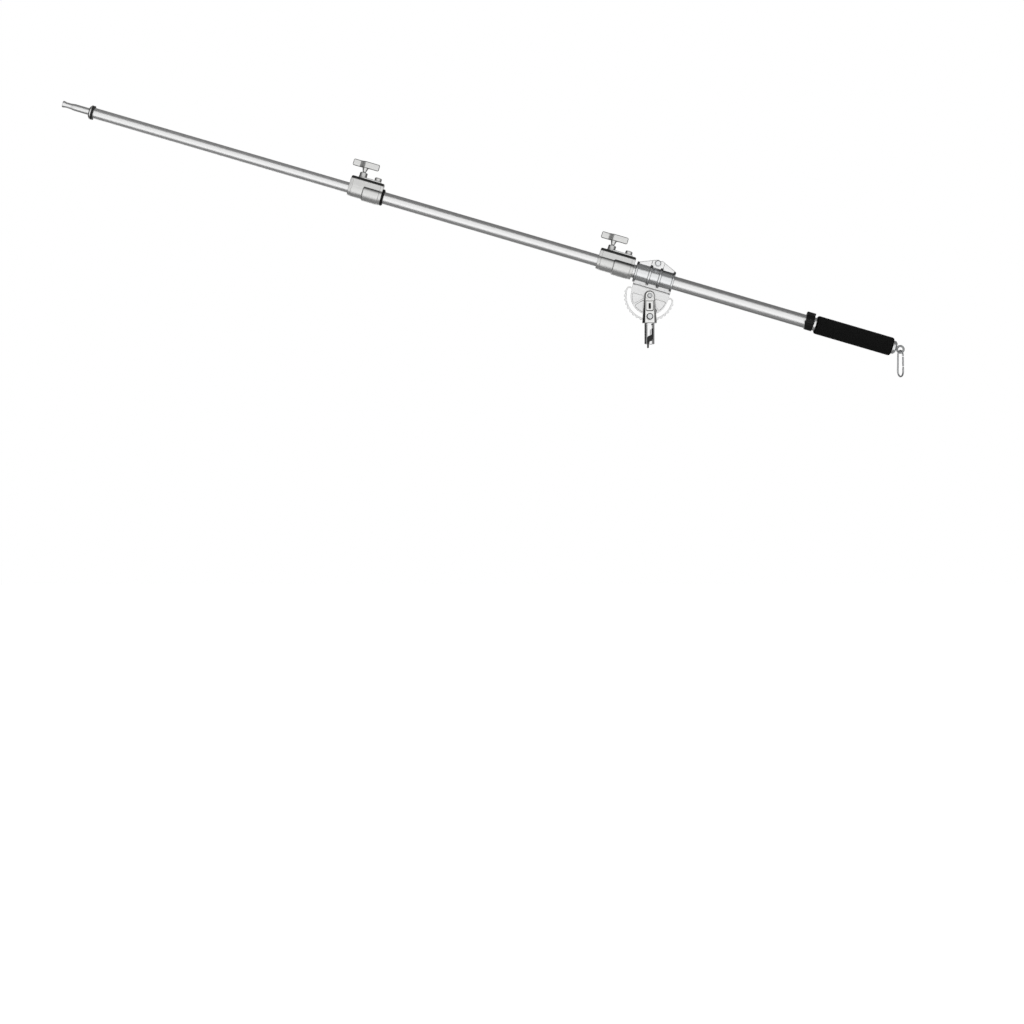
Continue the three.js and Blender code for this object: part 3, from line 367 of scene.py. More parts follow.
plastic = finish("black_plastic", "black_plastic", 0.005, (0.35, 0.5), 0.5, 5, 0.02, 0.2,
                 metallic=0, worn=2.5, worn_rough=0.05, specular=0.15)
rubber = finish("black_rubber", "black_rubber", 0.02, (0.6, 0.75), 0.5, 5, 0.02, 0.2,
                metallic=0, worn=1.8, worn_rough=0.05, specular=0.3)
foam = finish("black_foam", "black_foam", 0.014, (0.8, 0.95), 0.45, 9, 0.12, 0.3,
              metallic=0, worn=2.0, worn_rough=0, specular=0.08)
nylon = finish("white_nylon", "white_nylon", (0.78, 0.76, 0.7), (0.4, 0.55), 0.6, 6, 0.01, 0.03,
               metallic=0, worn=1.05)
print("finishes", len(bpy.data.materials))

# %% [markdown]
# The boom's three tubes are drawn steel, chromed and then brushed. Each is a wall carried
# round the axis, so its open end and its bore are real. Only the rims are rounded.

# %% Tubes
tube_wall, tube_rim = 1.3, 0.4
outer_radius, middle_radius, inner_radius = 15.9, 14.3, 12.7


def tube(start, end, radius):
    """A pipe's wall turned round the boom."""
    bore = radius - tube_wall
    wall = [(start, bore), (start, radius), (end, radius), (end, bore)]
    return turned(wall, on_boom, tube_rim, closed=True, steps=4)


def smooth(value, low, high):
    """0 below low, 1 above high, and an S between them: 3s^2 - 2s^3."""
    s = np.clip((value - low) / (high - low), 0, 1)
    return s * s * (3 - 2 * s)


def darker(below, top):
    """A painted shade for a tube's lowest and upper parts, which face the floor and the ceiling."""
    return lambda points, normals: np.maximum(below * smooth(-normals @ above, 0.78, 0.95),
                                              top * smooth(normals @ above, 0.22, 0.5))


for word, body, node, start, end, radius, shade in (
    ("outer", "outer_boom", "outer_tube", -92.1, 583, outer_radius, darker(0.45, 0.22)),
    ("middle", "middle_boom", "mid_tube", -712.5, -10.8, middle_radius, darker(0.25, 0.12)),
    ("inner", "tip_boom", "inner_tube", -1378.9, -655.5, inner_radius, None),
):
    piece(f"boom_tube_{word}", body, chrome, [tube(start, end, radius)], [node], shade=shade)

# %% [markdown]
# The lamp stud at the tip is one turned piece: a waisted 16 mm stud, a flange, and a plug in
# the tube. A rubber ring behind the flange keeps the lamp's socket off the tube.

# %% Lamp stud
stud_profile = [
    (-1449.6, 0), (-1449.6, 7.75), (-1446.4, 7.75), (-1441.4, 6.4), (-1429.4, 6.6), (-1420.6, 8),
    (-1384.2, 8), (-1384.2, 12.6), (-1380.6, 16.6), (-1378.4, 16.6), (-1378.4, 11.1),
    (-1357.2, 11.1), (-1357.2, 0),
]
stud_cuts = [0, 0.9, 1.6, 2.5, 3, 3, 0.4, 0.3, 0.5, 0.5, 0.3, 0.6, 0]
# Painted shade: the stud is darker where it faces up or down.
piece("lamp_stud", "tip_boom", chrome, [turned(stud_profile, on_boom, stud_cuts)], ["tip_stud"],
      shade=lambda p, n: 0.5 * smooth(np.abs(n @ above), 0.72, 0.92))
ring_profile = [(-1378.3, 13), (-1378.3, 17.1), (-1375.8, 15.9), (-1373.3, 17.1), (-1373.3, 13)]
piece("stud_rubber_ring", "tip_boom", rubber, [turned(ring_profile, on_boom, 1.0, closed=True)],
      ["rubber_ring"])

# %% [markdown]
# The two clamp collars are castings: a round sleeve that steps up in size, with a block on
# top for the screws. The section at each place is the union of a round sleeve and a bar with
# cut corners, and the surface is found along rays from the axis by halving an interval.

# %% Collar section
def nearer(a, b, blend):
    """The smaller of two distances, blended where they are close: joins two bodies."""
    h = np.clip(0.5 + 0.5 * (b - a) / blend, 0, 1)
    return b * (1 - h) + a * h - blend * h * (1 - h)


def block_distance(y, v, half, top, cut=7.2):
    """A bar up to a height with its two upper corners cut at 45 degrees: the largest of
    |y| - half, v - top, -v and (|y| - half + v - top + cut) / sqrt 2."""
    side, rise = np.abs(y) - half, v - top
    skin = -nearer(-np.maximum(side, rise), -(side + rise + cut) / math.sqrt(2), 1.0)
    return np.maximum(skin, -v)


def sleeve_distance(y, v, radius, shoulder=12.0, rise=3.3):
    """A circle below the axis. Above it the sides go up a little and turn in with a smaller
    radius, so the sleeve stands out from the block beside it."""
    turned_in = np.hypot(np.maximum(np.abs(y) - radius + shoulder, 0), np.maximum(v - rise, 0))
    return np.where(v < 0, np.hypot(y, v) - radius, turned_in - shoulder)


def collar_radius(angle, sleeve, half, top):
    """Distance from the axis to the casting along each ray: the sleeve and the screw block."""
    low = np.full(np.broadcast(angle, sleeve).shape, 8.0)
    high = low + 52
    for _ in range(30):
        middle = (low + high) / 2
        y, v = middle * np.cos(angle), middle * np.sin(angle)
        inside = nearer(sleeve_distance(y, v, sleeve), block_distance(y, v, half, top), 0.6) < 0
        low, high = np.where(inside, middle, low), np.where(inside, high, middle)
    return (low + high) / 2


round_radius = collar_radius(-np.pi / 2, 20.7, 18, 30.5)
print("below the axis the sleeve's radius is", round(float(round_radius), 2), "mm")

# %% [markdown]
# Along the boom the section changes: the sleeve steps up in size, both ends are rounded, and a
# narrow groove runs round near each end. The rows lie closer where the shape changes quickly.

# %% Collar castings
def fade(distance, radius):
    """How far a quarter circle of that radius has still to come in, at a distance from its end."""
    rest = np.clip(radius - distance, 0, radius)
    return radius - np.sqrt(radius**2 - rest**2)


def collar_casting(end, length, step, front, rear, top, front_bore, rear_bore):
    """The casting's grid: rows along the boom, columns round it, closed through its bores."""
    ends = [np.linspace(0, 1.2, 7), np.linspace(1.6, 5.2, 8), np.linspace(5.5, 8, 11)]
    ends = np.concatenate(ends)
    near_step = np.linspace(-2.5, 2.5, 15) - step
    spread = np.linspace(-length + 9, -9, 24)
    u = np.unique(np.round(np.concatenate([-ends, -length + ends, near_step, spread]), 3))
    to_end = np.minimum(-u, u + length)
    sleeve = front + (rear - front) * np.clip((u + step + 1.3) / 2.6, 0, 1)
    sleeve = sleeve - 1.5 * np.clip(1 - to_end / 7, 0, 1) - fade(to_end, 0.8)
    groove = 0.75 * np.exp(-(((to_end - 6.8) / 0.7) ** 2))
    half = 18 - 2.0 * np.clip(1 - to_end / 6.5, 0, 1) - fade(to_end, 1.0) - groove
    height = top - fade(to_end, 3.2)
    angle = round_angles(256)
    r = collar_radius(angle, *(a[:, None] for a in (sleeve - groove, half, height)))
    bores = np.array([
        (0, rear_bore + 0.5), (-0.5, rear_bore), (-step, rear_bore),
        (-step, front_bore), (-length + 0.5, front_bore), (-length, front_bore + 0.5),
    ])
    rings = [round_axis(u[:, None], r, angle), round_axis(bores[:, :1], bores[:, 1:], angle)]
    return grid_surface(on_boom(np.concatenate(rings) + [end, 0, 0]), close_rows=True)


print("the end of a casting comes in by", fade(0.0, 0.8), "mm")

# %% [markdown]
# Each collar also has a raised pad, a boss for its clamp screw, and a screw that locks it to
# its tube. The front one ends in a black ring.

# %% Collars
def collar(name, body, end, length, step, front, rear, top, front_bore, rear_bore, boss_share):
    """A collar's casting with its raised pad and boss, and the screw that locks it to its tube."""
    lock_share, pad_share = 0.765, 0.88
    boss = end - step - boss_share * (length - step)
    lock, pad_end = (end - length * (1 - share) for share in (lock_share, pad_share))
    pad = rounded_box(boss, pad_end, -9, 9, 3)
    on_top = placer(boom_point(boss), above, along)
    boss_line = [(top - 3, 0), (top - 3, 11.2), (top + 4, 9.2), (44, 9.2), (44, 4.6), (40, 4.6),
                 (40, 0)]
    surfaces = [
        collar_casting(end, length, step, front, rear, top, front_bore, rear_bore),
        slab(pad, edge_levels(top - 2, top + 3, 0, 1.4), on_boom),
        turned(boss_line, on_top, [0, 0, 2.0, 3.4, 0.3, 0, 0]),
    ]

    def shade(points, normals):
        """Painted shade: dark bevels, a sleeve that darkens towards the block it stands out from, a
        block and boss a little greyer than the sleeve, and darker sides on the boss."""
        facing_up, (_, height) = normals @ above, boom_place(points)
        bevels = 0.9 * smooth(facing_up, 0.48, 0.62) * smooth(-facing_up, -0.93, -0.86)
        shoulder = 0.9 * smooth(height, 0.5, 10.5) * smooth(np.abs(points[:, 1]), 18.03, 18.45)
        bevels, shoulder = bevels * (height > 15), shoulder * (height < 15)
        block = 0.09 * smooth(np.abs(normals @ back), 0.97, 0.995) * (height > 8)
        boss_side = (0.16 + 0.4 * smooth(np.abs(normals @ along), 0.45, 0.8)) * (height > top + 1.5)
        return np.maximum.reduce([bevels, shoulder, block, boss_side])

    piece(f"{name}_body", body, casting, surfaces, [f"{name}_casting"], shade=shade)
    seat = top + 3
    head = [(seat - 3, 0, 0), (seat - 3, 3, 0), (seat, 3, 0), (seat, 8.4, 0), (seat + 7.6, 8.4, 0),
            (seat + 7.6, 3.2, 0), (seat + 7.6, 3, 1), (seat + 5, 3, 1), (seat + 5, 0, 1)]
    at_lock = placer(boom_point(lock), above, along)
    # The lock screw's head is a little darker all over, and a painted shade darkens its sides.
    piece(f"{name}_lock", body, casting, [turned(head, at_lock, [0, 0, 0, 0.4, 4.0, 0, 0, 0, 0])],
          [f"{name}_lock_screw"],
          shade=lambda p, n: 0.1 + 0.5 * smooth(np.abs(n @ along), 0.5, 0.9))
    return boss


front_boss = collar("collar1", "middle_boom", end=-669.5, length=80, step=44.7, front=18,
                    rear=20.7, top=30.5, front_bore=13.0, rear_bore=14.6, boss_share=0.298)
rear_boss = collar("collar2", "outer_boom", end=-54.8, length=86, step=47, front=20.2,
                   rear=22.6, top=31.5, front_bore=14.6, rear_bore=16.2, boss_share=0.382)
end_ring = [(-669.2, 14.6), (-669.2, 19.6), (-666.2, 19.6), (-663.9, 17), (-663.9, 14.6)]
piece("collar1_ring", "middle_boom", plastic, [turned(end_ring, on_boom, 0.7, closed=True)],
      ["collar1_end_ring"])

# %% [markdown]
# Every clamp screw has a T-shaped handle, a casting whose two wings are set off to either
# side of a cone-shaped hub, so that a thumb and a finger push a flat face each. The bar is a
# rounded rectangle carried from one tip to the other, with two faces that step past the hub.

# %% Handles
def handle(size, place):
    """The bar: its front face is flush with the hub's front on one wing, and steps back by a
    smooth S to the other side of the axis on the other wing. The back face is its mirror."""
    waist, hub, cone, length, tall, thick, rounding, run = size
    reach, flush = length / 2, hub - 0.3
    x = np.unique(np.concatenate([
        reach * np.sin(np.linspace(-1, 1, 71) * np.pi / 2), np.linspace(-run, run, 81),
    ]))
    front = -flush + (2 * flush - thick) * smooth(-x, 0.2, run)
    back_face = flush - (2 * flush - thick) * smooth(x, 0.2, run)
    middle, half_t = (front + back_face) / 2, (back_face - front) / 2
    half_t = half_t - np.minimum(fade(reach - np.abs(x), 1.7), thick / 2 - 0.3)
    half_h = tall / 2 - fade(reach - np.abs(x), rounding)
    angle = round_angles(56) + np.pi / 56
    r = np.minimum(2.2, 0.95 * np.minimum(half_t, half_h))[:, None]
    y = middle[:, None] + np.sign(np.cos(angle)) * (half_t[:, None] - r) + r * np.cos(angle)
    z = np.sign(np.sin(angle)) * (half_h[:, None] - r) + r * np.sin(angle) + cone + tall / 2
    grid = np.stack([x[:, None] + 0 * y, y, z], -1)
    tips = np.repeat(grid[[0, -1]].mean(1)[:, None], len(angle), 1)
    bar = grid_surface(place(np.concatenate([tips[:1], grid, tips[1:]])))
    turn = lambda points: place(np.asarray(points)[..., [1, 2, 0]])
    hub_profile = [(0, 0), (0, waist), (1.6, waist), (cone, hub - 0.5), (cone + 2.2, hub - 0.6),
                   (cone + 3, 0)]
    return [bar, turned(hub_profile, turn, [0, 0.8, 0.8, 1.5, 0.3, 0], steps=8)]


# Waist, hub, cone, length, height, thickness, rounding, and how far the step runs.
long_handle = (4.6, 7.6, 9.2, 64, 15.8, 4.6, 3.3, 16.6)
short_handle = (5.2, 7.4, 4, 46, 10, 4, 2.2, 9.9)
print("handles are", long_handle[3], "and", short_handle[3], "mm long")

# %% [markdown]
# A handle and its screw turn as one body. The thread is real: its radius is a zigzag that
# climbs by one pitch for each turn.

# %% Clamp screws
def thread(radius, pitch, start, end, place, sides=48):
    """A screw's thread: r = radius - depth * |2 frac(z/pitch - a/2pi) - 1|, capped at both ends."""
    z = np.linspace(start, end, int((end - start) / pitch * 8) + 2)[:, None]
    angle = round_angles(sides)
    tooth = np.abs(2 * ((z / pitch - angle / (2 * np.pi)) % 1) - 1)
    grid = round_axis(z, radius - 0.55 * pitch * tooth, angle)
    caps = np.zeros((1, sides, 3))
    return grid_surface(place(np.concatenate([caps + [start, 0, 0], grid, caps + [end, 0, 0]])))


def t_screw(name, body, origin, wing, side, size, metal=casting, thread_radius=0, span=(0, 0),
            pitch=1):
    """A T handle on its screw. The third axis, wing x side, points out of the casting."""
    place, out = placer(origin, wing, side), np.cross(wing, side)

    def rims(points, normals):
        """Painted shade along the bar's outline, and on both sides of the cone below it."""
        x, z = (points - origin) @ wing, (points - origin) @ out
        cone, length, tall = size[2:5]
        to_rim = np.minimum.reduce([z - cone, cone + tall - z, length / 2 - np.abs(x)])
        outline = (0.75 if size is long_handle else 0.3) * smooth(-to_rim, -2.1, -1.1)
        return np.where(z > cone - 0.3, outline, 0.6 * smooth(np.abs(normals @ wing), 0.5, 0.85))

    piece(f"{name}_knob", body, metal, handle(size, place), [f"{name}_handle"], shade=rims)
    if thread_radius:
        screw = thread(thread_radius, pitch, *span, placer(origin, out, wing))
        piece(f"{name}_thread", body, zinc, [screw], [f"{name}_screw"])


for name, boss, low in (("collar1", front_boss, -30.0), ("collar2", rear_boss, -28.4)):
    t_screw(name, f"{name}_knob", boom_point(boss, height=45.8), along, back, long_handle,
            thread_radius=4, span=(low, 8.6), pitch=1.25)

# %% [markdown]
# The split sleeve grips the boom. Its barrel has four ribs and is slit along the top, so it
# is carried round from one side of the slit to the other and closed with its own section.
# Above and below, the ribs run out in square ends.

# %% Sleeve barrel
def sleeve_barrel(start, end, bore, radius, rib, width, shares, slit):
    """A ribbed wall turned from one side of the slit to the other."""
    line = [(start, bore)]
    for share in shares:
        centre = start + share * (end - start)
        low, high = max(centre - width / 2, start), min(centre + width / 2, end)
        line += [(low, radius), (low + 1.4, rib), (high - 1.4, rib), (high, radius)]
    line.append((end, bore))
    section = soften(line, 0.45, closed=True, steps=4, hold=0.08)
    half = math.asin(slit / 2 / radius)
    angle = np.linspace(np.pi / 2 + half, 5 * np.pi / 2 - half, 121)
    grid = on_boom(round_axis(section[:, :1], section[:, 1:], angle))
    points, faces = grid_surface(grid, close_rows=True, close_columns=False)
    columns = len(angle)
    first = [row * columns for row in range(len(section))]
    faces += [first, [i + columns - 1 for i in first]]
    return points, faces


sleeve_front, sleeve_rear = -49.6, 44.7
rib_shares = (0.025, 0.374, 0.638, 0.975)
barrel = sleeve_barrel(sleeve_front, sleeve_rear, bore=17.3, radius=18.8, rib=22, width=6.6,
                       shares=rib_shares, slit=3)


def rib_end(share, side, low, high):
    """The square end of a rib where it runs out against the ears or the foot."""
    centre = sleeve_front + share * (sleeve_rear - sleeve_front)
    outline = rounded_box(max(centre - 3, sleeve_front + 0.3), min(centre + 3.2, sleeve_rear - 0.3),
                          low, high, 1.4, 4)
    levels = bevel_levels(4, 12.6, 0, 1.0) if side > 0 else bevel_levels(-12.6, -4, 1.0, 0)
    return slab(outline, levels, on_side)


def barrel_shade(points, normals):
    """Painted shade under the ears, on the ribs' flanks, and on the ends of the ribs."""
    (u, v), y = boom_place(points), np.abs(points[:, 1])
    top = 0.45 + 0.3 * (np.abs(u + 1.8) < 9.5)
    ends = (smooth(v, 14.5, 15.4) + 0.9 * smooth(-v, 14.5, 15.4)) * (y < 13)
    flanks = 0.4 * smooth(np.abs(normals @ along), 0.4, 0.7)
    return np.maximum.reduce([top * smooth(normals @ above, 0.72, 0.95), flanks, ends])


ends = [rib_end(share, side, low, high) for share in rib_shares for side in (1, -1)
        for low, high in ((15.5, 24.2), (-22.8, -15.5))]
piece("sleeve_barrel", "tilt_head", bright, [barrel] + ends, ["clamp_sleeve"], shade=barrel_shade)

# %% [markdown]
# The ears above the slit take the clamp bolt. Each is three plates over one another, and
# fillets join the ears and the foot to the barrel.

# %% Ears
pad_front, pad_rear = -16.3, 13.4


def ear(front, rear, base, inner, outer, side, rounding=1.2):
    """A plate of the ears: a low triangle with a notch beside its peak, cut at front and rear."""
    height = lambda place: 43.7 - 0.42 * abs(place)
    corners = [(front, base), (rear, base), (rear, height(rear)), (6.4, height(6.4)),
               (1.8, height(1.8) - 4.2), (-2.8, 41.2), (front, height(front))]
    if front < pad_front:
        corners.insert(-1, (pad_front, height(pad_front)))
    cuts = [0.3, 0.3, 1.2, 1.0, 1.4, 1.0] + [1.2] * (len(corners) - 6)
    outline = soften(corners, cuts, closed=True)
    low, high = (inner, outer) if side > 0 else (-outer, -inner)
    cuts = (0, rounding) if side > 0 else (rounding, 0)
    return slab(outline, bevel_levels(low, high, *cuts), on_side)


def fillet_shade(points, normals):
    """A painted shade: a little darker than the barrel, and darkest under the ears' lower end."""
    place, height = boom_place(points)
    return 0.25 + 0.62 * smooth(place, -17, -14) * smooth(height, 12, 17)


fillet_levels = [(-47, 0), (-20, 0), (13, 0), (14, 0), (42.1, 0)]
for side, word in ((1, "rear"), (-1, "front")):
    piece(f"sleeve_ear_{word}", "tilt_head", plate_cast, [
        ear(-47.2, 42.3, 17.3, 1.5, 7, side),
        ear(pad_front, pad_rear, 20.0, 6.5, 9.2, side, 0.0),
        ear(pad_front, pad_rear, 19.3, 9.0, 11, side),
    ], flat_along=back)
    fillets = [
        slab(soften(np.array([(3, start), (12.4, start), (reach, end), (3, end)]) * [side, 1], 0.2,
                    closed=True, steps=3), fillet_levels, on_section)
        for start, reach, end in ((14, 6.8, 21.2), (-14, 8.1, -19.4))
    ]
    piece(f"sleeve_fillet_{word}", "tilt_head", bright, fillets, shade=fillet_shade)

# %% [markdown]
# The foot below the barrel is slotted for the half-moon plate, so its section is two jaws
# under a bridge, carried along the boom.

# %% Foot
def foot():
    """The foot's section, two jaws under a bridge, carried along the boom."""
    corners = [(-6.8, -29), (-3.3, -29), (-3.3, -20.7), (3.3, -20.7), (3.3, -29), (6.8, -29),
               (8, -27.4), (8, -16.9), (-8, -16.9), (-8, -27.4)]
    outline = soften(corners, [0.3, 0.4, 0.5, 0.5, 0.4, 0.3, 0.3, 0.3, 0.3, 0.3], closed=True)
    return slab(outline, bevel_levels(sleeve_front + 4, sleeve_rear, 0.9, 0.9), on_section)


# Painted shade: a dark line on the foot's downward-facing bevels.
foot_line = lambda p, n: 0.7 * smooth(-(n @ above), 0.4, 0.6) * (np.abs(p[:, 1]) > 5.5)
piece("sleeve_foot", "tilt_head", plate_cast, [foot()], flat_along=back, shade=foot_line)

# %% [markdown]
# The half-moon plate carries the tilt lock. It is cast with a toothed rim, a curved slot for
# the lock bolt, and four shallow pockets between spokes. These are its outlines.

# %% Outlines of the half-moon plate
def arc(radius, start, end, count):
    """Points on a circle round the tilt axis, between two angles in degrees."""
    a = np.radians(np.linspace(start, end, count))
    return np.stack([radius * np.cos(a), radius * np.sin(a)], 1)


def plate_rim(teeth=18, root=57.0, depth=2.5):
    """The rim: r = root + depth * w below the axis, where w is (1 - cos(36 a))/2 made steeper
    and cut off at 0 and 1, and the strip above."""
    a = np.linspace(np.pi, 2 * np.pi, teeth * 12 + 1)
    wave = 0.5 - 0.5 * np.cos(2 * teeth * (a - np.pi))
    wave = np.clip(1.6 * wave - 0.3, 0, 1)
    r = root + depth * wave
    teeth_line = np.stack([r * np.cos(a), r * np.sin(a)], 1)
    right_end = arc(8, 0, 110, 14) + [49, 1]
    left_end = arc(8, 70, 180, 14) + [-49, 1]
    strip = soften([right_end[-1], (45, 9), (45, 16.3), (40, 16.3), (40, 24.6), (-40, 24.6),
                    (-40, 16.3), (-45, 16.3), (-45, 9), left_end[0]], 0.8, steps=4)
    return np.concatenate([teeth_line, right_end, strip[1:-1], left_end])


def slot_outline(inner=44.0, outer=54.0, rise=1.0):
    """The curved slot with round ends."""
    middle, half = (inner + outer) / 2, (outer - inner) / 2
    ends = [arc(half, 0, 180, 13) + [middle, rise], arc(half, 0, 180, 13) + [-middle, rise]]
    return np.concatenate([arc(outer, 180, 360, 61), ends[0], arc(inner, 360, 180, 61), ends[1]])


def spread(*outlines, count=240):
    """The same number of points on each outline, even along the first, from its right side."""
    turns = [np.concatenate([line, line[:1]]) for line in outlines]
    reach = np.concatenate([[0], np.cumsum(np.linalg.norm(np.diff(turns[0], axis=0), axis=1))])
    number = np.arange(len(reach))
    place = np.interp(np.linspace(0, reach[-1], count, endpoint=False), reach, number)
    even = [np.stack([np.interp(place, number, line[:, i]) for i in (0, 1)], 1) for line in turns]
    across, rise = (even[0] - (even[0].min(0) + even[0].max(0)) / 2).T
    start = np.argmin(np.abs(np.arctan2(rise, across)))
    return [np.roll(line, -start, 0) for line in even]


def pocket(number, count=4, inner=15.0, outer=40.0, spoke=2.6, top=3.0):
    """One pocket between two spokes: a rounded box bent round the axis. At each radius r it
    runs from one spoke's side to the next: the share t of the angle left between them."""
    (t, r), = [line.T for line in spread(rounded_box(0, 30, inner, outer, 3), count=120)]
    ends = number == 0, number == count - 1
    gaps = [np.arcsin((top + 1 if at_end else spoke) / r) for at_end in ends]
    first = np.pi * (1 + number / count) + gaps[0]
    last = np.pi * (1 + (number + 1) / count) - gaps[1]
    a = first + (last - first) * t / 30
    return np.stack([r * np.cos(a), r * np.sin(a)], 1)


print("the plate's rim has", len(plate_rim()), "points")

# %% [markdown]
# A flat curve with holes gives each layer of the plate: its web in the middle, and a frame
# with open pockets on both faces.

# %% Half-moon plate
def cutout(outlines, low, high, bevel, place):
    """A plate with holes: a filled flat curve with a small bevel, read back as points and faces."""
    curve = bpy.data.curves.new("cutout", "CURVE")
    curve.dimensions, curve.fill_mode = "2D", "BOTH"
    curve.extrude = (high - low) / 2 - bevel
    curve.bevel_depth, curve.bevel_resolution, curve.offset = bevel, 2, -bevel
    for outline in outlines:
        spline = curve.splines.new("POLY")
        spline.points.add(len(outline) - 1)
        spline.points.foreach_set("co", np.pad(outline, ((0, 0), (0, 2))).ravel())
        spline.use_cyclic_u = True
    holder = put("cutout", curve)
    mesh = bpy.data.meshes.new_from_object(
        holder.evaluated_get(bpy.context.evaluated_depsgraph_get())
    )
    points = rows_of(mesh.vertices, "co") + [0, 0, (low + high) / 2]
    faces = [list(face.vertices) for face in mesh.polygons]
    bpy.data.objects.remove(holder)
    bpy.data.curves.remove(curve)
    bpy.data.meshes.remove(mesh)
    return place(points), faces


on_plate = placer(pivot, along, above)
pockets = [pocket(i) for i in range(4)]
openings = [plate_rim(), slot_outline()] + [inset(p, -1.5) for p in pockets]
layers = [
    cutout(openings[:2], -1.4, 1.4, 0.2, on_plate),
    cutout(openings, 0.4, 3, 0.7, on_plate),
    cutout(openings, -3, -0.4, 0.7, on_plate),
]
for face in (1, -1):
    slope = ((-2.6, 2.97), (-1.5, 2.97), (0, 1.35), (0, 0.9), (-2.6, 0.9))
    rims = [[np.pad(inset(p, d), ((0, 0), (0, 1)), constant_values=face * h) for d, h in slope]
            for p in pockets]
    layers += [grid_surface(on_plate(np.stack(rings)), close_rows=True) for rings in rims]
piece("half_moon_plate", "tilt_head", plate_cast, layers, ["tilt_plate"], flat_along=back)

# %% [markdown]
# Bolts are turned too. Their heads have a slanted rim, and the nut and the socket in the pivot
# bolt are hexagons. Two nylon washers keep the plate off the cheeks.

# %% Pivot bolt, nut and washers
def rim_dark(share):
    """A painted shade for the slanted rim of a bolt that lies across the boom."""
    return lambda points, normals: share * smooth(-np.abs(normals @ back), -0.97, -0.9)


def bolt_surface(place, head, tall, shank, length, cut, socket=0.0):
    """A head over a seat at zero with a bevelled rim, a hexagon socket if it has one, and the
    shank behind it."""
    profile = [(-length, 0, 0), (-length, shank, 0), (0, shank, 0), (0, head, 0),
               (tall - 1.15 * cut, head, 0), (tall, head - cut, 0)]
    cuts = [0, 0.6, 0, 0.3, 0.25, 0.25, 0]
    if socket:
        profile += [(tall, socket + 0.3, 0), (tall - 0.3, socket, 1), (tall - 2.5, socket, 1)]
        cuts += [0, 0, 0]
    profile.append((profile[-1][0], 0, profile[-1][2]))
    return turned(profile, place, cuts, sides=72, steps=4)


def washer_surface(place, radius, low, high, bore=4.3):
    """A flat ring with small rounded rims."""
    ring = [(low, bore), (low, radius), (high, radius), (high, bore)]
    return turned(ring, place, 0.35, 72, closed=True, steps=4)


at_pivot = placer(pivot + 13.6 * front, front, right)
piece("tilt_pivot_bolt", "stand_head", zinc,
      [bolt_surface(at_pivot, 5.6, 4.5, 4, 36.7, 1.3, socket=2.6)], ["pivot_bolt"],
      shade=rim_dark(0.4))
nut_profile = [(13.6, 4.3, 0), (13.6, 6.4, 0.6), (14.1, 6.5, 1), (19.6, 6.5, 1), (20.1, 6.4, 0.6),
               (20.1, 4.3, 0)]
piece("tilt_pivot_nut", "stand_head", zinc,
      [turned(nut_profile, placer(pivot, back, up), 0.2, 72, closed=True, steps=4)], ["pivot_nut"])
for word, low, high in (("front", -4.3, -3.3), ("rear", 3.3, 4.3)):
    piece(f"pivot_washer_{word}_ring", "stand_head", nylon,
          [washer_surface(placer(pivot, back, right), 9, low, high)], [f"pivot_washer_{word}"])

# %% [markdown]
# Two more bolts are tightened by T handles: one locks the tilt, and one closes the sleeve.
# They share a function.

# %% Tightened bolts
def clamp(word, name, body, metal, dark, thrust, point, across, seat, head, length, cut, washer,
          knob, wing):
    """A bolt across the boom with its head in front, and its washer and T handle behind. Seat,
    washer and knob say how far from the point they start."""
    bolt = bolt_surface(placer(point + seat * front, front, across), head, 8, 4, length, cut)
    piece(f"{word}_bolt", body, metal, [bolt], [f"{name}_bolt"], shade=rim_dark(dark))
    ring = washer_surface(placer(point, back, across), 8, washer, washer + 1.5)
    piece(f"{word}_washer", thrust, zinc, [ring], [f"{name}_washer"])
    t_screw(name, f"{name}_knob", point + knob * back, wing, np.cross(back, wing), short_handle)


# The number after the metal is the share of painted shade on each bolt's rim.
clamp("lock", "tilt_lock", "stand_head", zinc, 0.8, "tilt_lock_clamp", pivot - 49 * up, right,
      seat=12.6, head=7.7, length=37.8, cut=2.1, washer=12.9, knob=16.5, wing=-up)
clamp("clamp", "sleeve_clamp", "tilt_head", bright, 0.12, "sleeve_clamp",
      boom_point(-2.6, height=32), along,
      seat=11, head=7.2, length=34.6, cut=2.0, washer=11.3, knob=14.9, wing=along)

# %% [markdown]
# Two pins, plain rods with rounded ends, hold the plate in the sleeve's foot.

# %% Pins of the foot
def rod(place, half, radius, cut=0.5, sides=48):
    """A plain pin with rounded ends, as long to either side of its place."""
    line = [(-half, 0), (-half, radius), (half, radius), (half, 0)]
    return turned(line, place, [0, cut, cut, 0], sides)


for word, place in (("left", -30), ("right", 30)):
    across = placer(boom_point(place, height=-25), back, along)
    piece(f"foot_pin_{word}", "tilt_head", zinc, [rod(across, 8.1, 2.5)], [f"plate_pin_{word}"])

# %% [markdown]
# The yoke is one casting: two cheeks that flare downwards, joined by a web, with a spigot
# below. Each cheek's face is a strip of even width, and its sides fall away to the wider
# outline behind, so they go dark, partly in reflections and partly by a painted shade. Rings of
# points run from the back outline over the rounded side to the face, and on the front cheek into
# a recess and through its slot.

# %% Cheeks
def cheek_outline(top_radius, bottom_half, bottom, count=64, corner=1.5):
    """A round top, two straight sides and a flat bottom, with the same points for any size."""
    a = np.linspace(0, np.pi, count)
    dome = np.stack([top_radius * np.cos(a), top_radius * np.sin(a)], 1)
    corners = [(-top_radius, -3), (-bottom_half, bottom), (bottom_half, bottom), (top_radius, -3)]
    base = soften(corners, [0, corner, corner, 0], steps=7)
    return np.concatenate([dome, base])


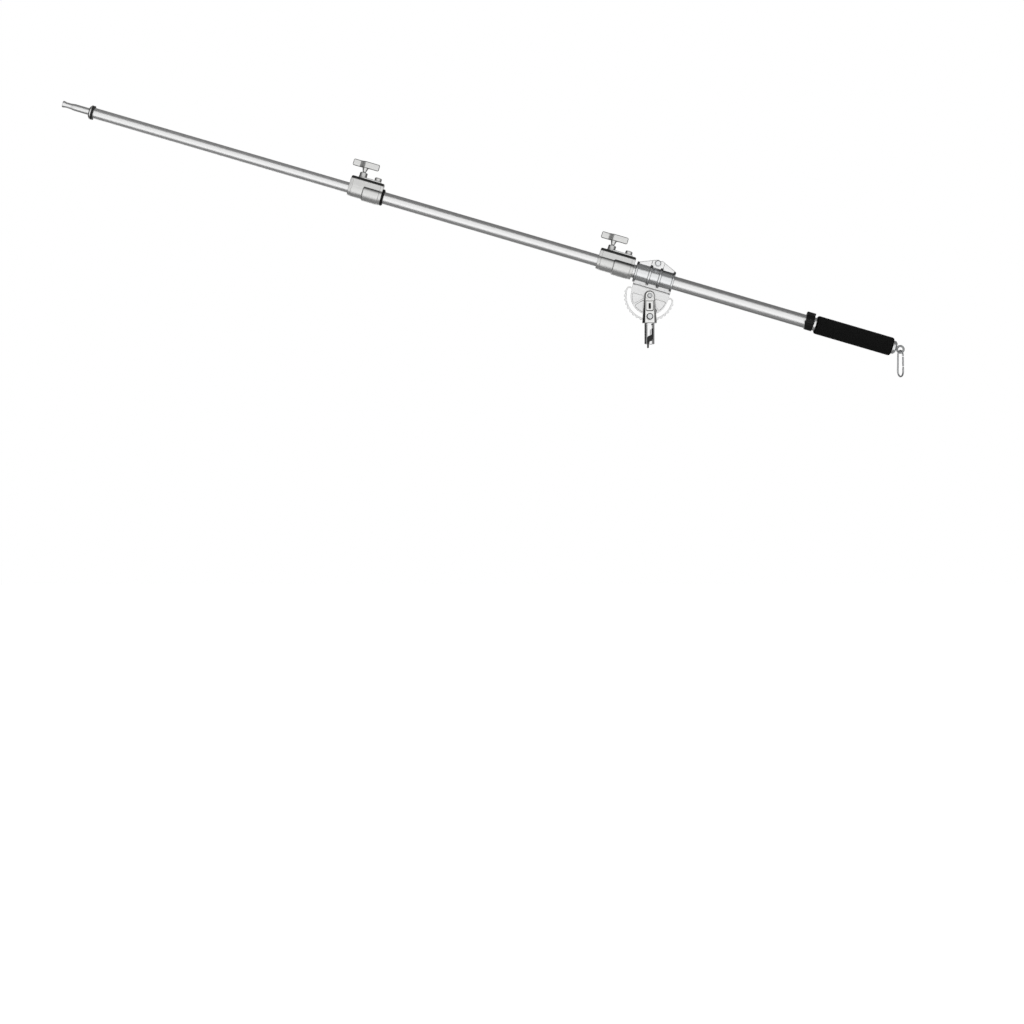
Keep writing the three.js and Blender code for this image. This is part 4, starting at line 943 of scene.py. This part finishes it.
def cheek(inner, outer, place, recessed):
    """Rings (outline, height) from the back edge over the slanted side to the face, and into
    the recess with its slot."""
    face, wide = spread(cheek_outline(9.7, 10.9, -63.0), cheek_outline(12.5, 16.8, -64))
    side = lambda s, h: (wide + (face - wide) * s, outer - h)
    over_side = ((0, 6.3), (0.02, 6.0), (0.08, 5.5), (0.5, 2.9), (0.94, 0.4), (0.98, 0.15),
                 (1, 0.03))
    rings = [(inset(wide, 0.6), inner), (wide, inner + 0.6), *(side(*s) for s in over_side),
             (inset(face, 0.2), outer)]
    if recessed:
        bowl, = spread(soften([(-9, -36.5), (9, -36.5), (9, -10.4), (0, -11.9), (-9, -10.4)],
                              [4.5, 4.5, 1.6, 6, 1.6], closed=True))
        hole, = spread(rounded_box(-2.5, 2.5, -30.75, -17.25, 1.6))
        middle = np.array([0, -24])
        rings += [((bowl - middle) * [1 - d / 22, 1 - d / 12] + middle, outer - h)
                  for d, h in ((-0.2, 0), (0, 0.1), (2.2, 2.1), (2.4, 2.2), (2.8, 2.2))]
        rings += [(inset(hole, d), outer - h) for d, h in ((-0.5, 2), (-0.3, 2), (0, 2.3))]
        rings.append((hole, inner))
    grid = np.stack([np.concatenate([o, np.full((len(o), 1), h)], 1) for o, h in rings])
    points, faces = grid_surface(place(grid), close_rows=recessed)
    if not recessed:
        count = grid.shape[1]
        faces += [list(range(count)), list(range(len(points) - count, len(points)))]
    return points, faces


print("a cheek's outline has", len(cheek_outline(9.7, 10.9, -63.0)), "points")

# %% [markdown]
# The cheeks, the web, a ring round each pivot hole and the spigot overlap, as one casting. A
# black sheet behind the front cheek keeps the recess's slot dark: painted shade.

# %% Yoke
facing_front, facing_back = placer(pivot, right, up), placer(pivot, -right, up)
web = slab(rounded_box(-16.2, 16.2, -5.2, 5.2, 0.6), edge_levels(-64, -60.3, 0.6, 0.6),
           placer(pivot, right, back))
cheek_ring = [(8.6, 0), (8.6, 10), (13.6, 10), (13.6, 5.9), (13.2, 5.7), (13.2, 0)]
yoke_surfaces = [
    cheek(4.6, 12.6, facing_front, True),
    cheek(4.6, 12.6, facing_back, False),
    web,
    *(turned(cheek_ring, placer(pivot, out, right), [0, 0, 1.2, 0.2, 0.2, 0])
      for out in (front, back)),
    turned([(41.5, 0), (41.5, 7.9), (53, 7.9), (53, 0)], on_socket, [0, 1, 0, 0]),
]


def yoke_shade(points, normals):
    """Painted shade on slanted sides: the left one darkest, then the round top, then the right."""
    slanted = smooth(-np.abs(normals @ back), -0.97, -0.9)
    shares = ((0.95, -right), (0.7, up), (0.5, right))
    sides = [share * smooth(normals @ way, 0.25, 0.5) for share, way in shares]
    return slanted * np.maximum.reduce(sides) * (points[:, 2] > 50)


piece("yoke_casting", "stand_head", yoke_cast, yoke_surfaces, ["yoke"], flat_along=back,
      shade=yoke_shade)
# Painted shade: a black sheet behind the front cheek keeps its slot dark.
liner = slab(rounded_box(-8, 8, -37, -11, 2), edge_levels(3.3, 4.4, 0.2, 0.2), facing_front)
piece("yoke_slot_shade_sheet", "stand_head", rubber, [liner])

# %% [markdown]
# Below the yoke sits the socket that carries the whole arm: a short chromed tube with two
# cross pins near the top and a threaded boss for its own T-handled screw.

# %% Socket
socket_wall = [(0, 8.2), (0, 11.75), (49.5, 11.75), (49.5, 8.2)]
socket_boss = [(-8.4, 0), (-8.4, 6.5), (-16, 6.5), (-16, 3.3), (-9.2, 3.3), (-9.2, 0)]
socket_out = placer(12.4 * up, back, right)
# Painted shade: the socket tube darkens towards its left and right sides.
piece("socket_tube", "stand_head", polished, [
    turned(socket_wall, on_socket, [0.4, 0.9, 0.7, 0.4], closed=True),
    turned(socket_boss, socket_out, [0, 0, 1.2, 0.4, 0, 0], 72),
], ["stand_socket"], shade=lambda p, n: 0.7 * smooth(np.abs(n @ right), 0.84, 0.97))
for word, x, metal in (("left", -5.2, zinc), ("right", 5.2, dark_steel)):
    across = placer(np.array([x, 0, 45.7]), back, right)
    piece(f"socket_cross_pin_{word}", "stand_head", metal, [rod(across, 11.5, 2.0, sides=36)],
          [f"socket_pin_{word}"])
t_screw("socket", "socket_knob", np.array([0, -17.95, 12.4]), up, -right, short_handle,
        dark_steel, thread_radius=3, span=(-6.9, 8.6))

# %% [markdown]
# The stop clip keeps the boom from sliding right through the sleeve: two moulded jaws, with a
# lug on top, drawn together by two screws. Each is one section carried along the boom, and the
# lower one's front face leans back towards its underside.

# %% Stop clip
def jaw(side):
    """A jaw's section: an arch with ears and a lug outside, and the same rays on its bore."""
    arch_radius, bore_radius, ear_reach, lug_half, lug_top = 18.5, 16.2, 24.8, 9, 23.8
    outer = arc(arch_radius, 13.7, 166.3, 41)
    if side > 0:
        right_part, left_part = outer[outer[:, 0] > lug_half], outer[outer[:, 0] < -lug_half]
        outer = np.concatenate([right_part, [(lug_half, lug_top), (-lug_half, lug_top)], left_part])
    right_ear, left_ear = ([(s * ear_reach, 0.4), (s * ear_reach, 4.4)] for s in (1, -1))
    line = soften(np.concatenate([right_ear, outer, left_ear[::-1]]), 0.7, steps=4, hold=0.05)
    return np.concatenate([line, bore_radius * unit(line)[::-1]]) * [1, side]


clip_middle = 376.95


def leaning(points, lean):
    """The front face leans back below the axis: u + lean * depth, where the depth goes from 0 at
    3 mm below the axis to 1 at 17 mm."""
    u, v = boom_place(points)
    return points + np.outer(lean * (u < clip_middle) * np.clip((-v - 3) / 14, 0, 1), along)


for word, side, start, end, lean in (
    ("upper", 1, 366.7, 387.2, 0), ("lower", -1, 364.9, 387.4, 4.5),
):
    points, faces = slab(jaw(side), edge_levels(start, end, 0.7, 0.7), on_section, arched=True)
    piece(f"clip_jaw_{word}", "outer_boom", plastic, [(leaning(points, lean), faces)],
          [f"stop_clip_{word}"], flat_along=along)
clip_screw = [(-4.4, 0), (-4.4, 1.6), (4.4, 1.6), (4.4, 3), (6.4, 3), (6.4, 0)]
for word, sign in (("front", -1), ("rear", 1)):
    place = placer(boom_point(clip_middle, sign * 21.8), above, along)
    piece(f"clip_screw_{word}", "outer_boom", dark_steel,
          [turned(clip_screw, place, [0, 0.3, 0, 0.3, 1.2, 0], 36)], [f"stop_clip_screw_{word}"])

# %% [markdown]
# The foam grip behind it is soft, and its skin is pebbled. A bump would leave its outline
# smooth, so the pebbles are real: a band of noise, filtered to one size, moves the surface.

# %% Foam grip
def pebbles(shape, cell, seed=4):
    """Noise with one grain size: white noise whose frequencies are kept near 1/cell."""
    rows, columns = (np.fft.fftfreq(n, d) for n, d in zip(shape, cell))
    far = np.hypot(rows[:, None], columns[None])
    keep = np.exp(-(((far - 1) / 0.35) ** 2))
    field = np.fft.ifft2(np.fft.fft2(np.random.default_rng(seed).normal(size=shape)) * keep).real
    return field / field.std()


def foam_surface(start, end, bore, radius, rounding, cell=2.9, per_cell=4):
    """A turned wall whose skin sinks between pebbles: p - n * depth * (1 - pebble)."""
    a = np.linspace(0, np.pi / 2, 6)
    curve = np.stack([start + rounding * (1 - np.cos(a)), radius - rounding * (1 - np.sin(a))], 1)
    count = int((end - start) / cell * per_cell)
    straight = np.linspace(start + rounding, end - rounding, count)[1:-1]
    middle = np.stack([straight, np.full(len(straight), radius)], 1)
    other = curve[::-1] * [-1, 1] + [start + end, 0]
    line = np.concatenate([[(start, bore), (start, bore + 1.5)], curve, middle, other,
                           [(end, bore + 1.5), (end, bore)]])
    normal = left_of(unit(np.gradient(line, axis=0)))
    columns = int(2 * np.pi * radius / cell * per_cell)
    field = pebbles((len(line), columns), (1 / per_cell, 1 / per_cell))
    depth = 0.5 * np.clip((1.2 - field) / 2.2, 0, 1)
    depth[[0, -1]] = 0
    u, r = (line[:, i : i + 1] - normal[:, i : i + 1] * depth for i in (0, 1))
    return grid_surface(on_boom(round_axis(u, r, round_angles(columns))), close_rows=True)


grip_radius = 21.75


def between_pebbles(points, normals):
    """A painted shade: 1 in the valleys of the skin and 0 on the crests, from the distance to the
    axis.
    """
    offset = points - boom_middle
    radius = np.linalg.norm(offset - np.outer(offset @ along, along), axis=1)
    return smooth(grip_radius - 0.03 - radius, 0.0, 0.42)


grip_surface = foam_surface(392.7, 580.7, bore=16.2, radius=grip_radius, rounding=5)
grip = piece("foam_grip_skin", "outer_boom", foam, [grip_surface], ["foam_grip"], sharp=180,
             shade=between_pebbles)

# %% [markdown]
# The near end is closed with a turned plug that carries an eye. The eye is turned as well: a
# circle carried round an axis that lies across the boom.

# %% End plug and eye
plug = [(561, 0), (561, 14.3), (583.3, 14.3), (583.3, 15.9), (586.3, 15.9), (590.3, 11.9),
        (590.3, 0)]
piece("end_cap", "outer_boom", bright, [turned(plug, on_boom, [0, 0.5, 0, 0.4, 1.2, 1.0, 0])],
      ["end_plug"])
stem = [(576.3, 0), (576.3, 3), (590.8, 3), (592.6, 3), (593.6, 0)]
a = round_angles(20)
eye_section = np.stack([1.9 * np.sin(a), 7.7 + 2.5 * np.cos(a)], 1)
# The eye is a little darker all over, and a painted shade darkens it more towards its outline.
piece("cap_eye", "outer_boom", plain_steel, [
    turned(eye_section, placer(boom_point(600.8), back, along), 0, 72, closed=True, steps=2),
    turned(stem, on_boom, [0, 0.4, 0.2, 0.8, 0], 36),
], ["tail_eye"], shade=lambda p, n: 0.4 + 0.4 * smooth(-np.abs(n @ back), -0.8, -0.5))

# %% [markdown]
# A spring hook hangs in the eye. It is one bent wire, so a circle is carried along two arcs
# and two straight legs. A gate, hinged on a pin, closes it.

# %% Spring hook
def wire(path, radius, place, sides=24):
    """A circle carried along a flat path: path + r(cos a * its normal + sin a * the third axis)."""
    normal, angle = left_of(unit(np.gradient(path, axis=0))), round_angles(sides)
    radius = np.broadcast_to(radius, len(path))[:, None]
    flat = path[:, None] + normal[:, None] * (radius * np.cos(angle))[..., None]
    return grid_surface(place(np.concatenate([flat, (radius * np.sin(angle))[..., None]], -1)))


hook_across = np.array([0.6157, 0.7880, 0])
on_hook = placer(np.array([589.8765, 0.6304, -26.5661]), hook_across, up)
wire_radius, top_radius, low_radius, hook_reach = 1.98, 12, 13, 36
lean = math.asin((low_radius - top_radius) / hook_reach)


def bend(radius, height, start, end, count=40):
    """An arc of the hook's wire."""
    return arc(radius, math.degrees(start), math.degrees(end), count) + [0, height]


top_bend = bend(top_radius, 0, -lean, np.pi + lean)
low_bend = bend(low_radius, -hook_reach, np.pi + lean, 2 * np.pi - lean)
nose, heel = top_bend[0], low_bend[-1]
down = unit(heel - nose)
leg = np.linspace(top_bend[-1], low_bend[0], 12)[1:-1]
gate_gap, cap = 28.9, 1.6
rise = np.linspace(heel, nose + gate_gap * down, 8)[1:]
grow = np.linspace(0, 1, 7)
route = np.concatenate([nose - down * 0.02 * (1 - grow[:, None]), top_bend, leg, low_bend, rise,
                        rise[-1] - down * cap * grow[:, None]])
dome = wire_radius * np.sqrt(1 - (1 - grow) ** 2)
thick = np.concatenate([dome, np.full(len(route) - 2 * len(dome), wire_radius), dome[::-1]])
piece("hook_wire", "hook", plain_steel, [wire(route, thick, on_hook)], ["hook_body"])

gate_start, gate_end = on_hook([np.append(nose, 0), np.append(nose + down, 0)])
on_gate = placer(gate_start, gate_end - gate_start, hook_across)
bar = [(1.5, 0), (1.5, 2), (23.5, 2), (23.5, 0)]
tongue = [(22, 0), (22, 0.9), (28, 0.9), (28, 0)]
piece("hook_gate_bar", "gate", plain_steel,
      [turned(bar, on_gate, [0, 0.8, 0.8, 0], 48), turned(tongue, on_gate, [0, 0, 0.4, 0], 24)],
      ["hook_gate"])

# %% [markdown]
# The pieces inside the arm keep their CAD shapes, which are plain turned parts, and get a
# finish in place of their flat one.

# %% CAD nodes that stay
kept = {"mid_glide": nylon, "inner_glide": nylon, "sleeve_liner": plastic, "socket_pad": brass,
        "collar1_pad": brass, "collar2_pad": brass, "hook_gate_pin": zinc, "hook_gate_spring": zinc}
for name, (material, _) in kept.items():
    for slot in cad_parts[name].material_slots:
        slot.material = material
print("kept CAD nodes", len(kept))

# %% [markdown]
# The arm is seen from the front by a level camera that stands lower than the arm and far
# away, as for a product picture.

# %% Camera
camera = put("camera", bpy.data.cameras.new("camera"))
camera.location = (-0.323, -5.5, -0.3938)
camera.rotation_euler = (math.pi / 2, 0, 0)
camera.data.lens = 82.3
bpy.context.scene.camera = camera
print("camera", round(-camera.location.y, 2), "m in front, lens", round(camera.data.lens, 1), "mm")

# %% [markdown]
# Chrome shows what stands round it, so the studio is as much a part of the look as the
# finish. The room is white for the camera and for gloss, and dimmer as a light.

# %% White room
def sees_white(tree):
    """1 for camera, gloss and transmission rays, 0 for the light itself."""
    path = add(tree, "LightPath")
    total = path["Is Camera Ray"]
    for word in ("Is Glossy Ray", "Is Transmission Ray"):
        total = add(tree, "Math", {0: total, 1: path[word]}, operation="MAXIMUM")["Value"]
    return total


def stage_plane(name, corners, material, gloss_only=True):
    """A flat stage piece through four corners, in metres."""
    mesh = bpy.data.meshes.new(name)
    mesh.from_pydata(corners, [], [(0, 1, 2, 3)])
    mesh.materials.append(material)
    made = put(name, mesh)
    if gloss_only:
        made.visible_camera = made.visible_diffuse = made.visible_shadow = False
        made.visible_transmission = made.visible_volume_scatter = False


def matt(name, tone, level=0):
    """A surface without gloss, which also gives its own light at that level."""
    material = bpy.data.materials.new(name)
    material.use_nodes = True
    feed(material.node_tree.nodes["Principled BSDF"], {
        "Base Color": tone * white, "Roughness": 1, "Specular IOR Level": 0,
        "Emission Color": white, "Emission Strength": level,
    })
    return material


white, light_level, seen_level, floor_lift = np.ones(3), 0.8, 1.0, 0.4
world = bpy.data.worlds.new("studio")
world.use_nodes = True
bpy.context.scene.world = world
tree = world.node_tree
light = tree.nodes["Background"]
feed(light, {"Color": white, "Strength": light_level})
seen = add(tree, "Background", {"Color": white, "Strength": seen_level})
blend = {0: sees_white(tree), 1: light.outputs["Background"], 2: seen["Background"]}
feed(tree.nodes["World Output"], {"Surface": add(tree, "MixShader", blend)["Shader"]})

floor_paint = matt("floor_paint", 0.8)
tree = floor_paint.node_tree
lift = add(tree, "Math", {0: sees_white(tree), 1: floor_lift}, operation="MULTIPLY")["Value"]
feed(tree.nodes["Principled BSDF"], {"Emission Strength": lift})
ground, far = -1.5, 30
corners = [(x, y, ground) for x, y in ((-far, -far), (far, -far), (far, far), (-far, far))]
stage_plane("floor", corners, floor_paint, gloss_only=False)
print("floor at", ground, "m")

# %% [markdown]
# Dark flags above, below and at the sides draw the dark lines along the tubes. Only gloss can
# see them. The key light is the other way round: gloss can't see it.

# %% Flags and key light
def flag(name, material, x, y, z):
    """A flag whose x, y or z is one number, and whose other two are spans."""
    spans = [(s, s) if np.isscalar(s) else s for s in (x, y, z)]
    (x0, x1), (y0, y1), (z0, z1) = spans
    if z0 == z1:
        corners = [(x0, y0, z0), (x1, y0, z0), (x1, y1, z0), (x0, y1, z0)]
    else:
        corners = [(x0, y0, z0), (x0, y1, z0), (x0, y1, z1), (x0, y0, z1)]
    stage_plane(name, corners, material)
    print(name, "at", [round(c, 3) for c in corners[0]])


dark, dim = matt("flag_dark", 0, 0.01), matt("flag_dim", 0, 0.22)
low_dim = matt("flag_low", 0, 0.235)
wide, low, high = (-6, 5), -1.45, 4
flag("flag_top", dim, wide, (-4.2, 9), high)
flag("flag_low", low_dim, wide, (-1.25, 2.5), low)
flag("flag_left_front", dim, -4.5, (-3.6, 0.6), (low, high))
flag("flag_left", dark, -4.5, (0.6, 12), (low, high))
flag("flag_right", dim, 3.5, (-2.6, 7), (low, high))

key = put("key", bpy.data.lights.new("key", "AREA"))
key.data.size, key.data.energy = 2.5, 60
key.location = (-2.2, -4.5, 2.6)
key.rotation_euler = (math.radians(62), 0, math.radians(-24))
key.visible_glossy = False

# %% [markdown]
# Last, both boxes are written down, so that the dressed model can be held against the CAD.

# %% Finish
bpy.context.scene.view_settings.view_transform = "Standard"
